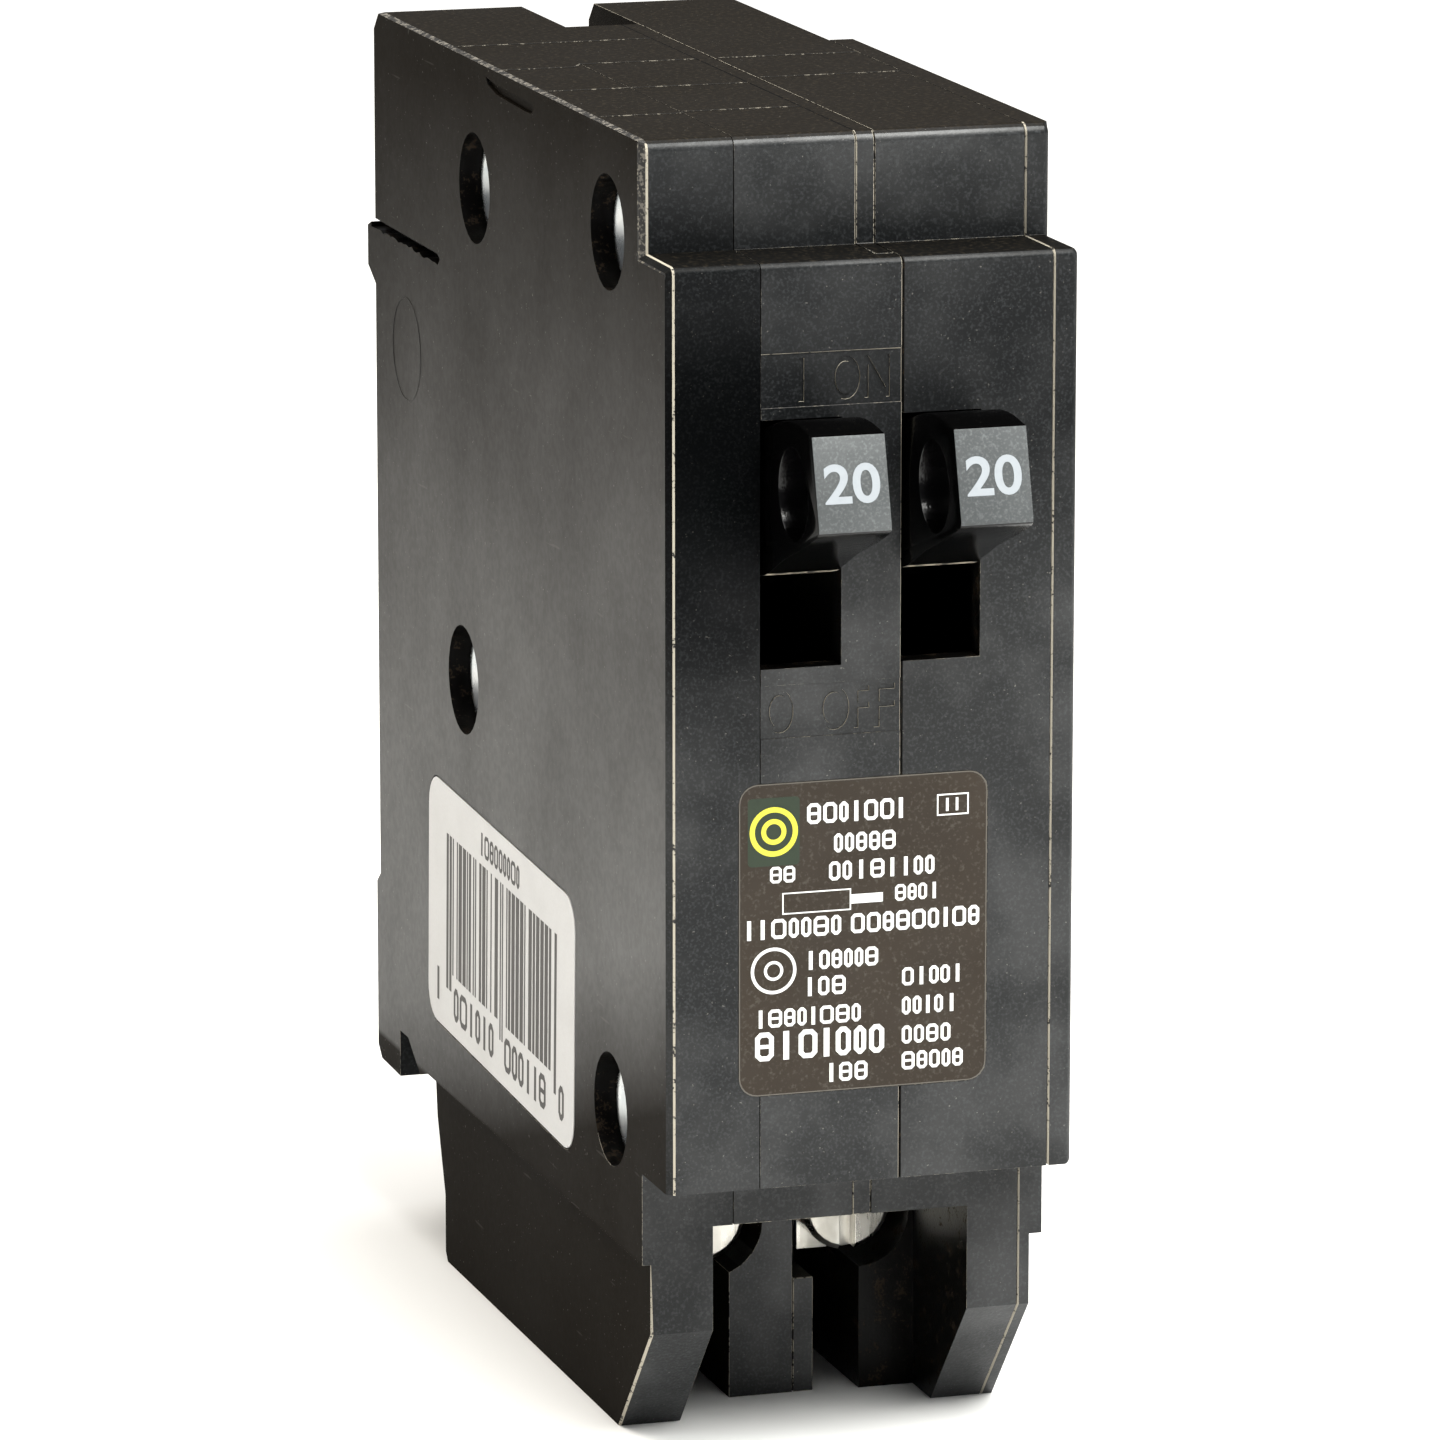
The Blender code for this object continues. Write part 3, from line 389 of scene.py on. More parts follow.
METALS = {
    "zinc_plate": metal("zinc_plated_steel", (0.62, 0.60, 0.55), (0.46, 0.44, 0.39),
                        grain=(1, 1, 0.15), spots=0.15),
    "copper": metal("bare_copper", (0.80, 0.40, 0.24), (0.42, 0.20, 0.12), grain=(1, 0.1, 1), spots=0.2),
    "silver": metal("silver_contact", (0.86, 0.84, 0.80), (0.55, 0.52, 0.48), rough=(0.25, 0.45)),
    "steel": metal("bright_steel", (0.50, 0.50, 0.51), (0.33, 0.32, 0.31), grain=(1, 0.12, 1), spots=0.3),
    "rivet": metal("dull_zinc", (0.66, 0.67, 0.66), (0.42, 0.45, 0.46), rough=(0.22, 0.30),
                   grain=(0.3, 0.3, 0.3), spots=0.05),
    "bimetal": metal("rolled_bimetal", (0.58, 0.54, 0.47), (0.42, 0.36, 0.28), grain=(1, 1, 0.1)),
}
FIBRE = fibre_board("red_fibre")


# ---- solids --------------------------------------------------------------------------------
SHARP = 32                   # degrees: an edge that turns more is drawn sharp


def arc(centre, radius, start, end, steps):
    """Points on a round stretch, angles in degrees."""
    angles = [math.radians(start + (end - start) * i / steps) for i in range(steps + 1)]
    return [(centre[0] + radius * math.cos(a), centre[1] + radius * math.sin(a)) for a in angles]


def rounded_box(left, low, right, high, radius, steps=6):
    """Outline of a rectangle with round corners."""
    return (arc((right - radius, low + radius), radius, -90, 0, steps)
            + arc((right - radius, high - radius), radius, 0, 90, steps)
            + arc((left + radius, high - radius), radius, 90, 180, steps)
            + arc((left + radius, low + radius), radius, 180, 270, steps))


def add_prism(work, outline, low, high, axis="x"):
    """Adds an outline pushed along one axis to a bmesh. The outline is (y, z), (x, z) or (x, y)."""
    place = {
        "x": lambda a, b, d: at(d, a, b),
        "y": lambda a, b, d: at(a, d, b),
        "z": lambda a, b, d: at(a, b, d),
    }[axis]
    rings = [[work.verts.new(place(a, b, d)) for a, b in outline] for d in (low, high)]
    faces = [work.faces.new(rings[0]), work.faces.new(rings[1])]
    for i in range(len(outline)):
        j = (i + 1) % len(outline)
        faces.append(work.faces.new([rings[0][i], rings[0][j], rings[1][j], rings[1][i]]))
    bmesh.ops.recalc_face_normals(work, faces=faces)


def new_object(name, work, *materials):
    """Turns a bmesh into an object that is smooth but for its sharp edges. Uses the bmesh up."""
    mesh = bpy.data.meshes.new(name)
    work.to_mesh(mesh)
    work.free()
    for material in materials:
        mesh.materials.append(material)
    mesh.shade_smooth()
    mesh.set_sharp_from_angle(angle=math.radians(SHARP))
    obj = bpy.data.objects.new(name, mesh)
    bpy.context.scene.collection.objects.link(obj)
    return obj


def add_turned(work, profile, place, steps=48):
    """Adds a turned solid to a bmesh. The profile runs (along, radius) and starts and ends at radius 0."""
    rings = []
    for along, radius in profile:
        if radius == 0:
            rings.append([work.verts.new(place(along, 0, 0))] * steps)
            continue
        turns = [2 * math.pi * i / steps for i in range(steps)]
        rings.append([work.verts.new(place(along, radius * math.cos(t), radius * math.sin(t)))
                      for t in turns])
    faces = []
    for ring, after in zip(rings, rings[1:]):
        for i in range(steps):
            j = (i + 1) % steps
            corners = list(dict.fromkeys((ring[i], ring[j], after[j], after[i])))
            faces.append(work.faces.new(corners))
    bmesh.ops.recalc_face_normals(work, faces=faces)


def prism(name, outline, low, high, axis="x", *materials):
    work = bmesh.new()
    add_prism(work, outline, low, high, axis)
    return new_object(name, work, *materials)


def text_solid(name, body, width, height, thick, bold, matrix, *materials):
    """Text as a thin solid of a given size; matrix takes its x, y plane to where it lies."""
    curve = bpy.data.curves.new(name, "FONT")
    curve.body = body
    curve.size = height * MM
    curve.extrude = thick * MM / 2
    curve.offset = bold * MM
    curve.resolution_u = 6
    text = bpy.data.objects.new(name, curve)
    bpy.context.scene.collection.objects.link(text)
    bpy.context.view_layer.update()
    mesh = bpy.data.meshes.new_from_object(text.evaluated_get(bpy.context.evaluated_depsgraph_get()))
    bpy.data.objects.remove(text)
    work = bmesh.new()
    work.from_mesh(mesh)
    bpy.data.meshes.remove(mesh)
    bmesh.ops.remove_doubles(work, verts=work.verts, dist=1e-7)
    spans = [(min(v.co[i] for v in work.verts), max(v.co[i] for v in work.verts)) for i in (0, 1)]
    fit = [size * MM / (high - low) for size, (low, high) in zip((width, height), spans)]
    middle = [(low + high) / 2 for low, high in spans]
    for v in work.verts:
        v.co.x, v.co.y = (v.co.x - middle[0]) * fit[0], (v.co.y - middle[1]) * fit[1]
    bmesh.ops.transform(work, matrix=matrix, verts=work.verts)
    bmesh.ops.recalc_face_normals(work, faces=work.faces)
    for face in work.faces:
        face.material_index = 0
    return new_object(name, work, *materials)


def basis(origin, across, up):
    """Matrix that takes x, y of a drawing to across, up at a place in the part's frame."""
    across, up = Vector(across).normalized(), Vector(up).normalized()
    out = across.cross(up)
    rotation = Matrix((across, up, out)).transposed().to_4x4()
    return Matrix.Translation(origin) @ rotation


def subtract(obj, *tools):
    """Cuts each tool out of an object in turn. Uses the tools up."""
    for tool in tools:
        step = obj.modifiers.new("cut", "BOOLEAN")
        step.operation, step.solver, step.object = "DIFFERENCE", "EXACT", tool
    bpy.context.view_layer.update()
    old = obj.data
    obj.data = bpy.data.meshes.new_from_object(obj.evaluated_get(bpy.context.evaluated_depsgraph_get()))
    obj.modifiers.clear()
    bpy.data.meshes.remove(old)
    for tool in tools:
        bpy.data.objects.remove(tool)


def place_piece(obj, body, slot, *nodes):
    """The piece rides on its body and hides the CAD nodes that it stands for. The slot is not used."""
    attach(obj, body)
    if nodes:
        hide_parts(*nodes)


# ---- mouldings -----------------------------------------------------------------------------
def clean_mesh(mesh):
    """A bmesh of a mesh with its flat areas as single faces."""
    work = bmesh.new()
    work.from_mesh(mesh)
    for layers in (work.loops.layers, work.verts.layers, work.edges.layers, work.faces.layers):
        for kind in ("float", "int", "bool", "float_vector"):
            for layer in list(getattr(layers, kind, {}).values()):
                getattr(layers, kind).remove(layer)
    bmesh.ops.remove_doubles(work, verts=work.verts, dist=1e-6)
    bmesh.ops.dissolve_limit(work, angle_limit=math.radians(0.5), verts=work.verts, edges=work.edges)
    for face in work.faces:
        face.material_index = 0
    return work


def cut_copy(node, *cutters):
    """A bmesh of a CAD node less some cutters."""
    work = clean_mesh(frame["nodes"][node].data)
    if cutters:
        obj = new_object("blank", work)
        subtract(obj, *cutters)
        work = clean_mesh(obj.data)
        bpy.data.objects.remove(obj)
    return work


def sharp_edges(work, least=28.0):
    """The edges that turn by more than least degrees."""
    return [edge for edge in work.edges
            if len(edge.link_faces) == 2 and math.degrees(edge.calc_face_angle(0)) > least]


def pick_edges(work, test, least=28.0):
    """Sharp edges whose two ends both pass a test on their place in the case."""
    return [edge for edge in sharp_edges(work, least)
            if all(test(*in_case(vert.co)) for vert in edge.verts)]


def near(a, b):
    return abs(a - b) < 0.02


def near_seam(x, seam):
    return abs(x - seam) < 0.12


def bevel(work, edges, width, segments=1, material=-1, clamp=True):
    bmesh.ops.bevel(work, geom=edges, offset=width * MM, offset_type="OFFSET", segments=segments,
                    profile=0.5, affect="EDGES", clamp_overlap=clamp, material=material,
                    loop_slide=True)


def round_steps(work):
    """The moulded rounds along the top of the case and of its front part."""
    bevel(work, pick_edges(work, lambda x, y, z: near(y, STEP_BACK) and near(z, TOP_HEIGHT)), 0.7, 4)
    bevel(work, pick_edges(work, lambda x, y, z: near(y, 0) and near(z, FACE_HEIGHT)), 0.45, 3)


def sunk(name, x, y, z):
    """Whether a place lies inside a bore, behind a window, in the slit or in the right wire channel."""
    if name == "left_case" and 0.12 < x < 3:
        in_slit = y > SLIT_FRONT - 0.6 and SLIT_LOW - 0.2 < z < SLIT_HIGH + 0.1
        return in_slit or any(math.hypot(y - spot.y, z - spot.z) < BORE for spot in RIVET_SPOTS)
    if name == "right_case" and z < LIP_LOW - 0.05 and y > 6 and x < RIGHT_LEG_IN + 0.02:
        return True
    return name in ("middle_case", "right_case") and 0.2 < y < 3 and WINDOW_LOW < z < WINDOW_HIGH


def crisp(obj):
    """Keeps the flanks and the small worn bevels flat, while the moulded rounds stay smooth."""
    work = bmesh.new()
    work.from_mesh(obj.data)
    for edge in work.edges:
        if len(edge.link_faces) != 2:
            continue
        turn = math.degrees(edge.calc_face_angle(0))
        flat = any(face.material_index not in (PLASTIC_SLOT, DEEP_SLOT) or abs(face.normal.x) > 0.999
                   for face in edge.link_faces)
        edge.smooth = turn < (5 if flat else SHARP)
    work.to_mesh(obj.data)
    work.free()


def moulding(name, wear, shape=None, cutters=(), engraved=(), plastic=CASE):
    """One moulding of the case: its rounds, its marks and a small bevel along every edge.

    wear(x, y, z) gives the level of wear, 0 to 3, of the edge whose middle is there. Level 4 is a
    black groove along a seam. The level is also the bevel's material slot.
    """
    work = cut_copy(name, *cutters)
    round_steps(work)
    if shape:
        shape(work)
    for level, width in EDGE_WIDTHS.items():
        worn = [edge for edge in sharp_edges(work, 50)
                if wear(*in_case((edge.verts[0].co + edge.verts[1].co) / 2)) == level]
        bevel(work, worn, width, 1, material=level)
    # Painted shade: faces in bores, behind windows, in the slit and in the right wire channel take the dark wall
    # material.
    for face in work.faces:
        if sunk(name, *in_case(face.calc_center_median())):
            face.material_index = DEEP_SLOT
    obj = new_object(f"{name}_moulding", work, plastic, *WORN, DEEP, RUBBED)
    if engraved:
        subtract(obj, *engraved)
    crisp(obj)
    even = obj.modifiers.new("even_normals", "WEIGHTED_NORMAL")
    even.keep_sharp, even.weight = True, 90
    place_piece(obj, "case", "case_plastic", name)


def left_shape(work):
    """A chamfer down the front left edges and along the top, rubbed pale above, with worn sides."""
    outer_face = [edge for edge in sharp_edges(work, 40)
                  if all(near(in_case(v.co).x, 0) for v in edge.verts)]
    chain = [edge for edge in outer_face if all(on_profile(*in_case(v.co)) for v in edge.verts)]
    bevel(work, chain, CHAMFER, 1, clamp=False)
    for face in work.faces:
        place = in_case(face.calc_center_median())
        on_top = place.z > TOP_HEIGHT - CHAMFER and place.y > STEP_BACK + 1
        on_step = place.z > FACE_HEIGHT + 1 and place.y < STEP_BACK + 1
        if 0.01 < place.x < CHAMFER - 0.01 and (on_top or on_step):
            face.material_index = RUBBED_SLOT
    edges = sharp_edges(work, 20)
    inner = [edge for edge in edges
             if all(abs(in_case(v.co).x - CHAMFER) < 0.06 and in_case(v.co).y < STEP_BACK + 1
                    and in_case(v.co).z > -0.1 for v in edge.verts)]
    outer = [edge for edge in edges
             if all(near(in_case(v.co).x, 0) and in_case(v.co).y < STEP_BACK + 1
                    and in_case(v.co).z > 0.1 for v in edge.verts)]
    bevel(work, inner, 0.08, 1, material=PALE_SLOT, clamp=False)
    bevel(work, outer, 0.06, 1, material=1, clamp=False)


def on_profile(x, y, z):
    """Whether a place lies on the front profile of the case or along its top."""
    on_front = near(y, 0) or y < 0.6 and z > FACE_HEIGHT - 0.6
    on_ledge = near(z, FACE_HEIGHT) and y < STEP_BACK + 0.1
    on_step = z > FACE_HEIGHT - 0.1 and y < STEP_BACK + 0.75 and not y < STEP_BACK - 0.1
    return on_front or on_ledge or on_step or near(z, TOP_HEIGHT)


def left_wear(x, y, z):
    if z < RIDGE - 0.1:
        return 3 if y < LEG_FRONT + 2 and x < 1 else 2
    if near_seam(x, SEAM_1) and (y < STEP_BACK + 1 or near(z, TOP_HEIGHT)):
        return 4 if z > 0 else 1
    if z < 0 and x < 1:
        return 2
    return 1


def middle_wear(x, y, z):
    if near_seam(x, PLATE_RIGHT) and y < 1 or near_seam(x, SEAM_2) and z > FACE_HEIGHT:
        return 3
    if (near(z, ON_PLATE[1]) or near_seam(x, SEAM_1 + 0.03)) and y < 1:
        return 3
    if near_seam(x, SEAM_1 + 0.03) and y < STEP_BACK + 1 or near_seam(x, PLATE_RIGHT):
        return 2
    return 1 if z > -3 or y > 20 else 2


def partition_wear(x, y, z):
    if near(z, TOP_HEIGHT):
        return 4
    return 2 if z > FACE_HEIGHT or z < 0.1 else 1


def right_wear(x, y, z):
    if near_seam(x, SEAM_3) and y < 1 and z > -1:
        return 4
    if z > FACE_HEIGHT and x < SEAM_3 + 0.2:
        return 2
    return 2 if z < RIDGE else 1


def cover_wear(x, y, z):
    if near_seam(x, SEAM_4) and y < LEG_FRONT + 2:
        return 3
    return 2 if z < RIDGE else 1


def cover_shape(work):
    """The cover's outer edges are well rounded."""
    bevel(work, pick_edges(work, lambda x, y, z: near(x, WIDTH) and y < 6 and z > -4), 0.8, 4)


def mark_plate(low, high):
    """A very shallow bed across the middle moulding for a moulded word."""
    left, right = SEAM_1 - 1, PLATE_RIGHT + 1
    return prism("bed", [(left, low), (right, low), (right, high), (left, high)], -1, 0.07, "y")


def moulded_word(body, left, right, centre_z):
    """A cutter that sinks a word into the front; its walls are painted pale, a painted highlight along the
    letters.
    """
    place = basis(at((left + right) / 2, 0.05, centre_z), (1, 0, 0), (0, 0, 1))
    cutter = text_solid("word", body, right - left, LETTER, 0.25, 0.0, place)
    # Painted highlight: the walls take the pale edge material.
    for face in cutter.data.polygons:
        face.material_index = PALE_SLOT if abs(face.normal.y) < 0.5 else PLASTIC_SLOT
    return cutter


def slit_outline():
    """The slit in the left face, with a ragged lower lip."""
    rng = random.Random(3)
    steps = 24
    lower = [(SLIT_FRONT + (DEPTH - SLIT_FRONT) * i / steps, SLIT_LOW + 0.05 + rng.uniform(-0.13, 0.12))
             for i in range(steps)]
    return lower + [(DEPTH + 1, SLIT_LOW), (DEPTH + 1, SLIT_HIGH), (SLIT_FRONT, SLIT_HIGH),
                    (SLIT_FRONT - 0.5, SLIT_LOW + 0.4)]


def left_cutters():
    """The gate's dent under the top edge, and the slit."""
    dent = prism("dent", [(38.5, 61.8), (38.0, 61.35), (36.0, 61.0), (29.6, 60.85), (28.3, 60.9),
                          (27.6, 61.35), (28.4, 61.6), (30.0, 61.55), (36.4, 61.6)], -1, 0.22)
    return dent, prism("slit", slit_outline(), -1, 0.9)


def bead(work, x0, y0, x1, y1):
    """Adds one fine raised line on the top."""
    along = Vector((x1 - x0, y1 - y0)).normalized() * BEAD / 2
    across = Vector((-along.y, along.x))
    corners = [(x0 + across.x, y0 + across.y), (x0 - across.x, y0 - across.y),
               (x1 - across.x, y1 - across.y), (x1 + across.x, y1 + across.y)]
    add_prism(work, corners, TOP_HEIGHT - 0.05, TOP_HEIGHT + BEAD_HIGH, "z")


def mould_lines():
    """The raised lines that the mould's inserts left across the top."""
    work = bmesh.new()
    left, right = (0.3, 13.2), (14.7, 23.7)      # the stretches on either side of the partition
    for start, end in (((left[0], 46.9), (left[1], 46.9)),
                       ((left[0], 36.0), (5.0, 36.0)),
                       ((5.0, 36.0), (5.7, 37.1)),
                       ((5.7, 37.15), (left[1], 37.15)),
                       ((left[0], 26.4), (left[1], 26.4)),
                       ((0.5, 15.4), (5.7, 15.4)),
                       ((5.8, 16.0), (left[1], 16.0)),
                       ((right[0], 37.2), (right[1], 37.2)),
                       ((right[0], 28.4), (right[1], 28.4))):
        bead(work, *start, *end)
    place_piece(new_object("mould_lines", work, WORN[0]), "case", "case_plastic")


def full_circle(centre, radius, steps):
    return arc(centre, radius, 0, 360 * (1 - 1 / steps), steps - 1)


def round_mark():
    """The fine raised ring on the left face, in place of a moulded mark."""
    work = bmesh.new()
    inside, outside, steps = 0.03, -0.025, 56
    rings = [[work.verts.new(at(x, a, b)) for a, b in full_circle((57.5, 41.5), radius, steps)]
             for radius, x in ((3.42, inside), (3.40, outside), (3.28, outside), (3.26, inside))]
    for ring, after in zip(rings, rings[1:] + rings[:1]):
        for i in range(steps):
            j = (i + 1) % steps
            work.faces.new([ring[i], ring[j], after[j], after[i]])
    bmesh.ops.recalc_face_normals(work, faces=work.faces)
    place_piece(new_object("round_mark", work, CASE), "case", "case_plastic")


def mouldings():
    moulding("left_case", left_wear, left_shape, left_cutters(), plastic=LEFT_CASE)
    moulding("middle_case", middle_wear,
             cutters=(mark_plate(*ON_PLATE), mark_plate(*OFF_PLATE)),
             engraved=[moulded_word(*row) for row in (
                 ("I", 8.1, 8.42, ON_WORD), ("ON", 10.1, 13.7, ON_WORD),
                 ("O", 6.1, 7.8, OFF_WORD), ("OF", 9.4, 12.5, OFF_WORD), ("F", 12.8, 14.1, OFF_WORD))])
    moulding("partition", partition_wear)
    moulding("right_case", right_wear)
    moulding("right_cover", cover_wear, cover_shape)
    mould_lines()
    round_mark()


# ---- rivets --------------------------------------------------------------------------------
def rivets():
    """Rivets with dished heads on the left, deep in their counterbores, and flat heads on the right."""
    for number, centre in zip(RIVET_NUMBERS, RIVET_SPOTS):
        end = in_case(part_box(f"rivet_{number}")[1]).x
        dish = [(1.95, 0), (1.9, 0.9), (1.68, 1.6), (1.34, 2.6), (1.25, 2.75), (1.25, 2.95),
                (1.4, 3.15), (1.6, 3.2), (2.85, 3.2)]
        shank = [(2.85, 1.4), (end - 1.0, 1.4)]
        flat = [(end - 1.0, 2.8), (end - 0.3, 2.8), (end, 2.3), (end - 0.1, 1.6), (end - 0.25, 0.8),
                (end - 0.3, 0)]
        work = bmesh.new()
        add_turned(work, dish + shank + flat, lambda along, u, v: at(along, centre.y + u, centre.z + v))
        obj = new_object(f"rivet_{number}_body", work, METALS["rivet"])
        place_piece(obj, "case", "zinc_plate", f"rivet_{number}")


# ---- handles -------------------------------------------------------------------------------
def handle_point(tag, u, v):
    """A point of a handle in the part's frame; u points out of the case and v up, at rest."""
    pivot = Vector(JOINTS[f"handle_{tag}_swing"]["pos_m"])
    c, s = math.cos(HANDLE_TILT), math.sin(HANDLE_TILT)
    return pivot + Vector((0, -(u * c - v * s), u * s + v * c)) * MM


def from_axis(point, axis):
    """Distance in millimetres from an axis that runs across the case."""
    return math.hypot(point.y - axis.y, point.z - axis.z) / MM


def handle(tag):
    """The handle with its black sides, its paler grainy tip and the flaked lower edge of its root."""
    side_slot, tip_slot, flaked_slot = 0, 1, 2
    work = clean_mesh(frame["nodes"][f"handle_{tag}"].data)
    flaked = handle_point(tag, 8.9, -4.2)
    root = [edge for edge in sharp_edges(work, 8)
            if all(from_axis(v.co, flaked) < 0.4 for v in edge.verts)]
    bevel(work, root, 0.45, 3, material=flaked_slot)
    bevel(work, sharp_edges(work, 40), 0.13, 2)
    out = (handle_point(tag, 1, 0) - handle_point(tag, 0, 0)).normalized()
    hole = handle_point(tag, 15.5, 0)
    for face in work.faces:
        off_hole = from_axis(face.calc_center_median(), hole) > 2.95
        if face.material_index == side_slot and face.normal.dot(out) > 0.85 and off_hole:
            face.material_index = tip_slot
    obj = new_object(f"handle_{tag}_lever", work, HANDLE_SIDE, HANDLE_TIP, FLAKED)
    place_piece(obj, f"handle_{tag}", "handle_plastic", f"handle_{tag}")


def handle_number(tag):
    """The rating on the tip of a handle."""
    out = handle_point(tag, 1, 0) - handle_point(tag, 0, 0)
    up = handle_point(tag, 0, 1) - handle_point(tag, 0, 0)
    middle = handle_point(tag, 20.0, 0.1) + out.normalized() * 0.008 * MM
    place = basis(middle, (1, 0, 0), up)
    obj = text_solid(f"number_{tag}", "20", 3.4, 2.35, 0.03, 0.045, place, NUMBER_INK)
    place_piece(obj, f"handle_{tag}", "handle_plastic")


# ---- labels --------------------------------------------------------------------------------
def cut_corners(left, low, right, high, cut):
    """Outline of a rectangle with its corners cut off."""
    return [(left + cut, low), (right - cut, low), (right, low + cut), (right, high - cut),
            (right - cut, high), (left + cut, high), (left, high - cut), (left, low + cut)]


def frame_mark(left, low, right, high, stroke, cut=None):
    """A closed frame, as its outer and inner outlines."""
    cut = stroke if cut is None else cut
    return (cut_corners(left, low, right, high, cut),
            cut_corners(left + stroke, low + stroke, right - stroke, high - stroke, cut * 0.4))


def bar_mark(left, low, right, high):
    """A solid bar, as its one outline."""
    return ([(left, low), (right, low), (right, high), (left, high)],)


def glyph(rng, left, low, width, height, stroke):
    """One meaningless print mark: an upright bar, or a closed frame with or without a waist."""
    right, high = left + width, low + height
    kind = rng.randrange(6)
    if kind == 0:
        middle = (left + right) / 2
        return [bar_mark(middle - stroke * 0.6, low, middle + stroke * 0.6, high)]
    marks = [frame_mark(left, low, right, high, stroke)]
    if kind < 3 and width > 3.2 * stroke:
        waist = (low + high) / 2
        marks.append(bar_mark(left + stroke * 0.9, waist - stroke * 0.4,
                              right - stroke * 0.9, waist + stroke * 0.4))
    return marks


def word(rng, left, low, right, height):
    """Print marks of unlike widths, side by side, that fill a word's place."""
    pitch, gap, stroke = height * 0.72, 0.17, height * 0.17
    widths = [rng.choice((0.85, 1.0, 1.2)) for _ in range(max(1, round((right - left) / pitch)))]
    scale = (right - left) / sum(widths)
    marks, place = [], left
    for width in widths:
        marks += glyph(rng, place, low, (width - gap) * scale, height, stroke)
        place += width * scale
    return marks


def add_ring(work, outer, inner, low, high, axis):
    """Adds a flat ring between two outlines that have as many points as each other."""
    count = len(outer)
    place = {"x": lambda a, b, d: at(d, a, b), "y": lambda a, b, d: at(a, d, b)}[axis]
    rings = [[work.verts.new(place(a, b, d)) for a, b in outline]
             for outline, d in ((outer, low), (outer, high), (inner, high), (inner, low))]
    faces = []
    for ring, after in zip(rings, rings[1:] + rings[:1]):
        for i in range(count):
            j = (i + 1) % count
            faces.append(work.faces.new([ring[i], ring[j], after[j], after[i]]))
    bmesh.ops.recalc_face_normals(work, faces=faces)


def print_mesh(name, marks, face, thick, material, turn=None, axis="y"):
    """Flat print, standing thick millimetres off a face. A mark is an outline, or a ring of two."""
    work = bmesh.new()
    for mark in marks:
        outlines = [[turn(*point) for point in outline] if turn else outline for outline in mark]
        if len(outlines) == 2:
            add_ring(work, *outlines, face, face - thick, axis)
        else:
            add_prism(work, *outlines, face, face - thick, axis)
    return new_object(name, work, material)


LABEL_ROWS = (      # first and last place across, middle place down, cap height in millimetres
    (0.27, 0.68, 0.10, 1.25), (0.38, 0.64, 0.20, 1.15), (0.12, 0.23, 0.29, 1.0),
    (0.36, 0.80, 0.29, 1.15), (0.63, 0.82, 0.375, 1.0), (0.015, 0.42, 0.465, 1.2),
    (0.45, 0.985, 0.465, 1.2), (0.26, 0.57, 0.575, 1.15), (0.26, 0.44, 0.66, 1.15),
    (0.66, 0.92, 0.65, 1.1), (0.06, 0.50, 0.755, 1.1), (0.66, 0.90, 0.745, 1.1),
    (0.06, 0.60, 0.845, 1.75), (0.66, 0.87, 0.84, 1.1), (0.35, 0.53, 0.945, 1.15),
    (0.66, 0.92, 0.925, 1.1),
)


def across(u):
    """Millimetres across the case for a share of the label's width from its left edge."""
    return LABEL[0] + u * (LABEL[2] - LABEL[0])


def down(v):
    """Millimetres up the case for a share of the label's height from its top edge."""
    return LABEL[3] - v * (LABEL[3] - LABEL[1])


def label_sheet(spread, radius):
    """Outline of the label, spread past its edges on every side."""
    left, low, right, high = LABEL
    return rounded_box(left - spread, low - spread, right + spread, high + spread, radius)


def label_ring(u, v, outer, inner):
    """A round mark on the label, as its outer and inner outlines."""
    return tuple(full_circle((across(u), down(v)), radius, 40) for radius in (outer, inner))


def front_label():
    """The rating label: dark film, a pale rim, print without meaning, and rings for its marks."""
    sheet = label_sheet(0.09, 1.15)
    plate = prism("rating_label", sheet, SHEET_BACK, SHEET_FACE, "y", FILM)
    place_piece(plate, "case", "rating_label", "front_label")
    rim = [(sheet, label_sheet(0.02, 1.1))]
    place_piece(print_mesh("label_edge", rim, SHEET_FACE, 0.01, EDGE_INK), "case", "rating_label")

    rng = random.Random(20)
    marks = []
    for first, last, middle, height in LABEL_ROWS:
        marks += word(rng, across(first), down(middle) - height / 2, across(last), height)
    marks.append(bar_mark(across(0.45), down(0.40), across(0.58), down(0.37)))
    marks.append(frame_mark(across(0.80), down(0.135), across(0.93), down(0.065), 0.09, 0))
    marks.append(frame_mark(across(0.17), down(0.42), across(0.45), down(0.35), 0.08, 0))
    marks += word(rng, across(0.825), down(0.10) - 0.4, across(0.905), 0.8)
    marks += [label_ring(0.135, 0.60, 1.42, 1.22), label_ring(0.135, 0.60, 0.6, 0.42)]
    place_piece(print_mesh("label_print", marks, SHEET_FACE, 0.012, WHITE_INK), "case", "rating_label")

    patch = rounded_box(across(0.03), down(0.26), across(0.24), down(0.04), 0.25)
    patch = prism("mark_patch", patch, SHEET_FACE + 0.002, SHEET_FACE - 0.01, "y", GREEN_INK)
    place_piece(patch, "case", "rating_label")
    rings = [label_ring(0.135, 0.15, 1.5, 1.18), label_ring(0.135, 0.15, 0.78, 0.48)]
    place_piece(print_mesh("mark_rings", rings, SHEET_FACE, 0.016, YELLOW_INK), "case", "rating_label")


def on_sticker(across, up):
    """(y, z) on the left face for a place on the tilted sticker; across runs towards the front."""
    tilt, middle = math.radians(2.1), (36.3, 6.1)
    y, z = -across, up
    return (middle[0] + y * math.cos(tilt) - z * math.sin(tilt),
            middle[1] + y * math.sin(tilt) + z * math.cos(tilt))


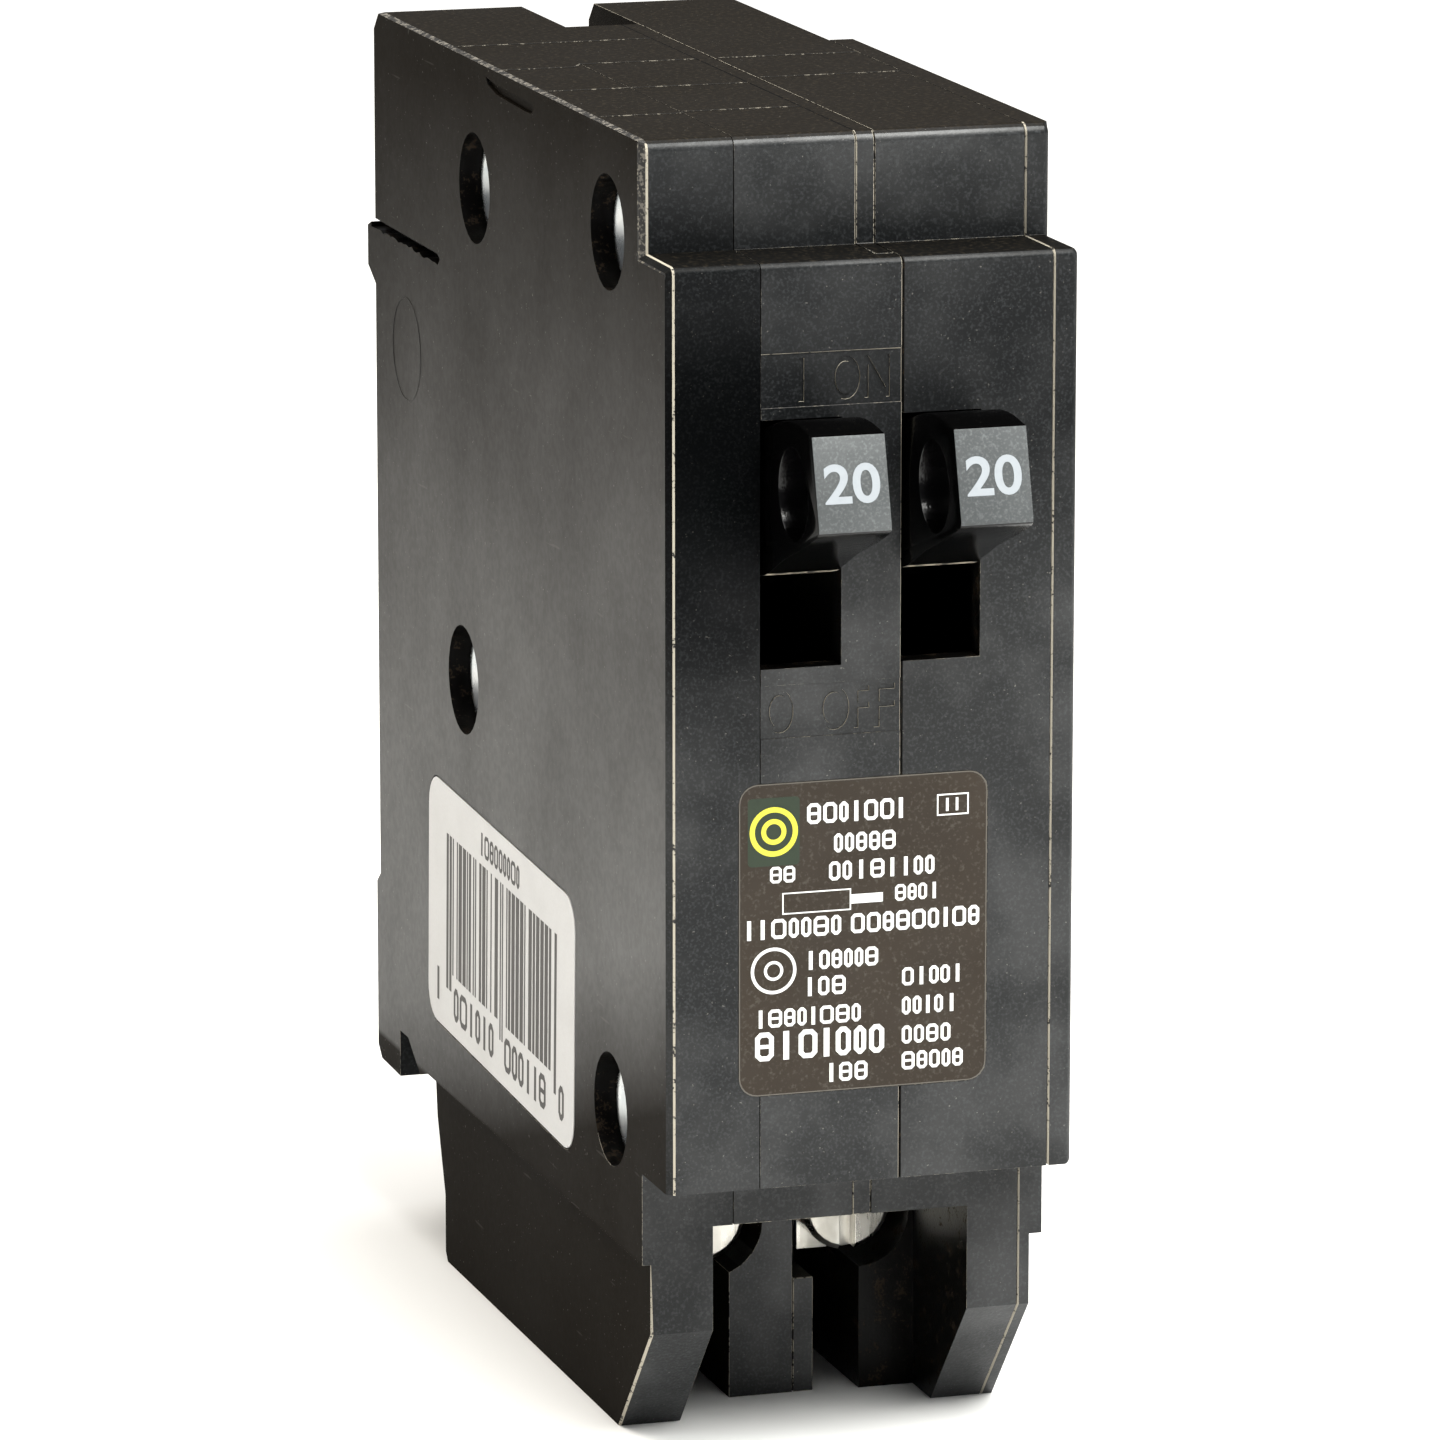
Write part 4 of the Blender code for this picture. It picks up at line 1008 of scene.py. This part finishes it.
def bar_code(rng):
    """Random bars, with long ones at both ends and in the middle."""
    marks, place = [], -12.4
    while place < 12.6:
        width = rng.choice((0.24, 0.24, 0.48, 0.48, 0.72, 0.96))
        long_bar = place < -11.6 or place > 12.0 or abs(place) < 0.7
        marks.append(bar_mark(place, -5.3 if long_bar else -4.1, place + width, 5.0))
        place += width + rng.choice((0.24, 0.24, 0.24, 0.48, 0.72))
    return marks


def side_sticker():
    """The long paper sticker on the left face, with a bar code and number that mean nothing."""
    outline = [on_sticker(a, b) for a, b in rounded_box(-16.7, -8.1, 16.7, 8.1, 2.1)]
    sheet = prism("bar_sticker", outline, SHEET_BACK, SHEET_FACE, "x", PAPER)
    place_piece(sheet, "case", "paper_sticker", "side_label")
    rng = random.Random(7)
    marks = bar_code(rng)
    for left, low, right, height in ((-4.6, 5.6, 4.6, 1.5), (-14.9, -6.6, -13.5, 2.2),
                                     (-10.6, -7.0, -1.0, 2.2), (1.2, -7.0, 10.8, 2.2),
                                     (13.4, -6.6, 14.8, 2.2)):
        marks += word(rng, left, low, right, height)
    sticker = print_mesh("sticker_print", marks, SHEET_FACE, 0.01, DARK_INK, on_sticker, axis="x")
    place_piece(sticker, "case", "paper_sticker")


# ---- CAD nodes that stay -------------------------------------------------------------------
def dress_nodes():
    """Materials and fine edges for the CAD nodes that keep their shape."""
    slots = {row["node"]: row["material_slot"] for row in frame["record"]["subparts"]}
    for name, node in frame["nodes"].items():
        if node.hide_render:
            continue
        material = METALS.get(slots[name], FIBRE)
        for place in node.material_slots:
            place.material = material
        weld = node.modifiers.new("weld", "WELD")
        weld.merge_threshold = 1e-6
        flat = node.modifiers.new("flat", "DECIMATE")
        flat.decimate_type, flat.angle_limit = "DISSOLVE", math.radians(0.5)
        round_off = node.modifiers.new("edges", "BEVEL")
        round_off.width, round_off.segments = 0.06 * MM, 2
        round_off.limit_method, round_off.angle_limit = "ANGLE", math.radians(35)
        round_off.harden_normals = False


# ---- surroundings --------------------------------------------------------------------------
FLOOR_REACH = 6.0                        # metres, as in all of this section
FILL = (0.16, 0.16, 0.165, 1)            # what the world gives to the surfaces
BACKDROP = (0.86, 0.86, 0.86, 1)         # and what is seen behind the floor


def floor():
    reach, z = FLOOR_REACH, LEFT_LOW.z
    mesh = bpy.data.meshes.new("floor")
    mesh.from_pydata([(-reach, -reach, z), (reach, -reach, z), (reach, reach, z), (-reach, reach, z)],
                     [], [(0, 1, 2, 3)])
    mesh.materials.append(floor_material())
    obj = bpy.data.objects.new("floor", mesh)
    bpy.context.scene.collection.objects.link(obj)


def softbox(name, place, aim, width, height, power, colour=(1, 1, 1)):
    data = bpy.data.lights.new(name, "AREA")
    data.shape, data.size, data.size_y = "RECTANGLE", width, height
    data.energy, data.color = power, colour
    lamp = bpy.data.objects.new(name, data)
    lamp.location = place
    lamp.rotation_euler = (Vector(aim) - Vector(place)).to_track_quat("-Z", "Y").to_euler()
    bpy.context.scene.collection.objects.link(lamp)


def backdrop():
    """A dim world that shows itself pale to the camera only."""
    world = bpy.data.worlds.new("studio")
    bpy.context.scene.world = world
    world.use_nodes = True
    tree = world.node_tree
    path = tree.nodes.new("ShaderNodeLightPath")
    pick = tree.nodes.new("ShaderNodeMix")
    pick.data_type = "RGBA"
    pick.inputs[6].default_value = FILL
    pick.inputs[7].default_value = BACKDROP
    tree.links.new(path.outputs["Is Camera Ray"], pick.inputs[0])
    tree.links.new(pick.outputs[2], tree.nodes["Background"].inputs["Color"])
    bpy.context.scene.view_settings.view_transform = "Standard"


def studio():
    """Floor, backdrop, a broad soft light above, and two small ones that the sides mirror."""
    floor()
    softbox("overhead", (0, 0.3, 2.2), (0, 0.2, 0), 2.6, 2.6, 62)
    softbox("left_back", (-0.22, 0.30, 0.55), (-0.06, 0.16, 0), 0.35, 0.35, 1.9, (1.0, 0.90, 0.72))
    softbox("front_pool", (0.14, -0.30, 0.50), (0.05, -0.13, 0), 0.4, 0.3, 6.6, (1.0, 1.0, 0.96))
    backdrop()


def camera():
    """A long lens, to the left of the front and a little above."""
    data = bpy.data.cameras.new("camera")
    data.lens, data.sensor_width = 226.0, 36.0
    data.clip_start, data.clip_end = 0.01, 50
    aim, distance = Vector((-0.0006, 0.0, 0.0400)), 0.5625
    forward = Vector((0.2902, 0.9333, -0.2116)).normalized()
    obj = bpy.data.objects.new("camera", data)
    obj.location = aim - forward * distance
    obj.rotation_euler = forward.to_track_quat("-Z", "Y").to_euler()
    bpy.context.scene.collection.objects.link(obj)
    bpy.context.scene.camera = obj


camera()
mouldings()
rivets()
for tag in "ab":
    handle(tag)
    handle_number(tag)
front_label()
side_sticker()
dress_nodes()
studio()
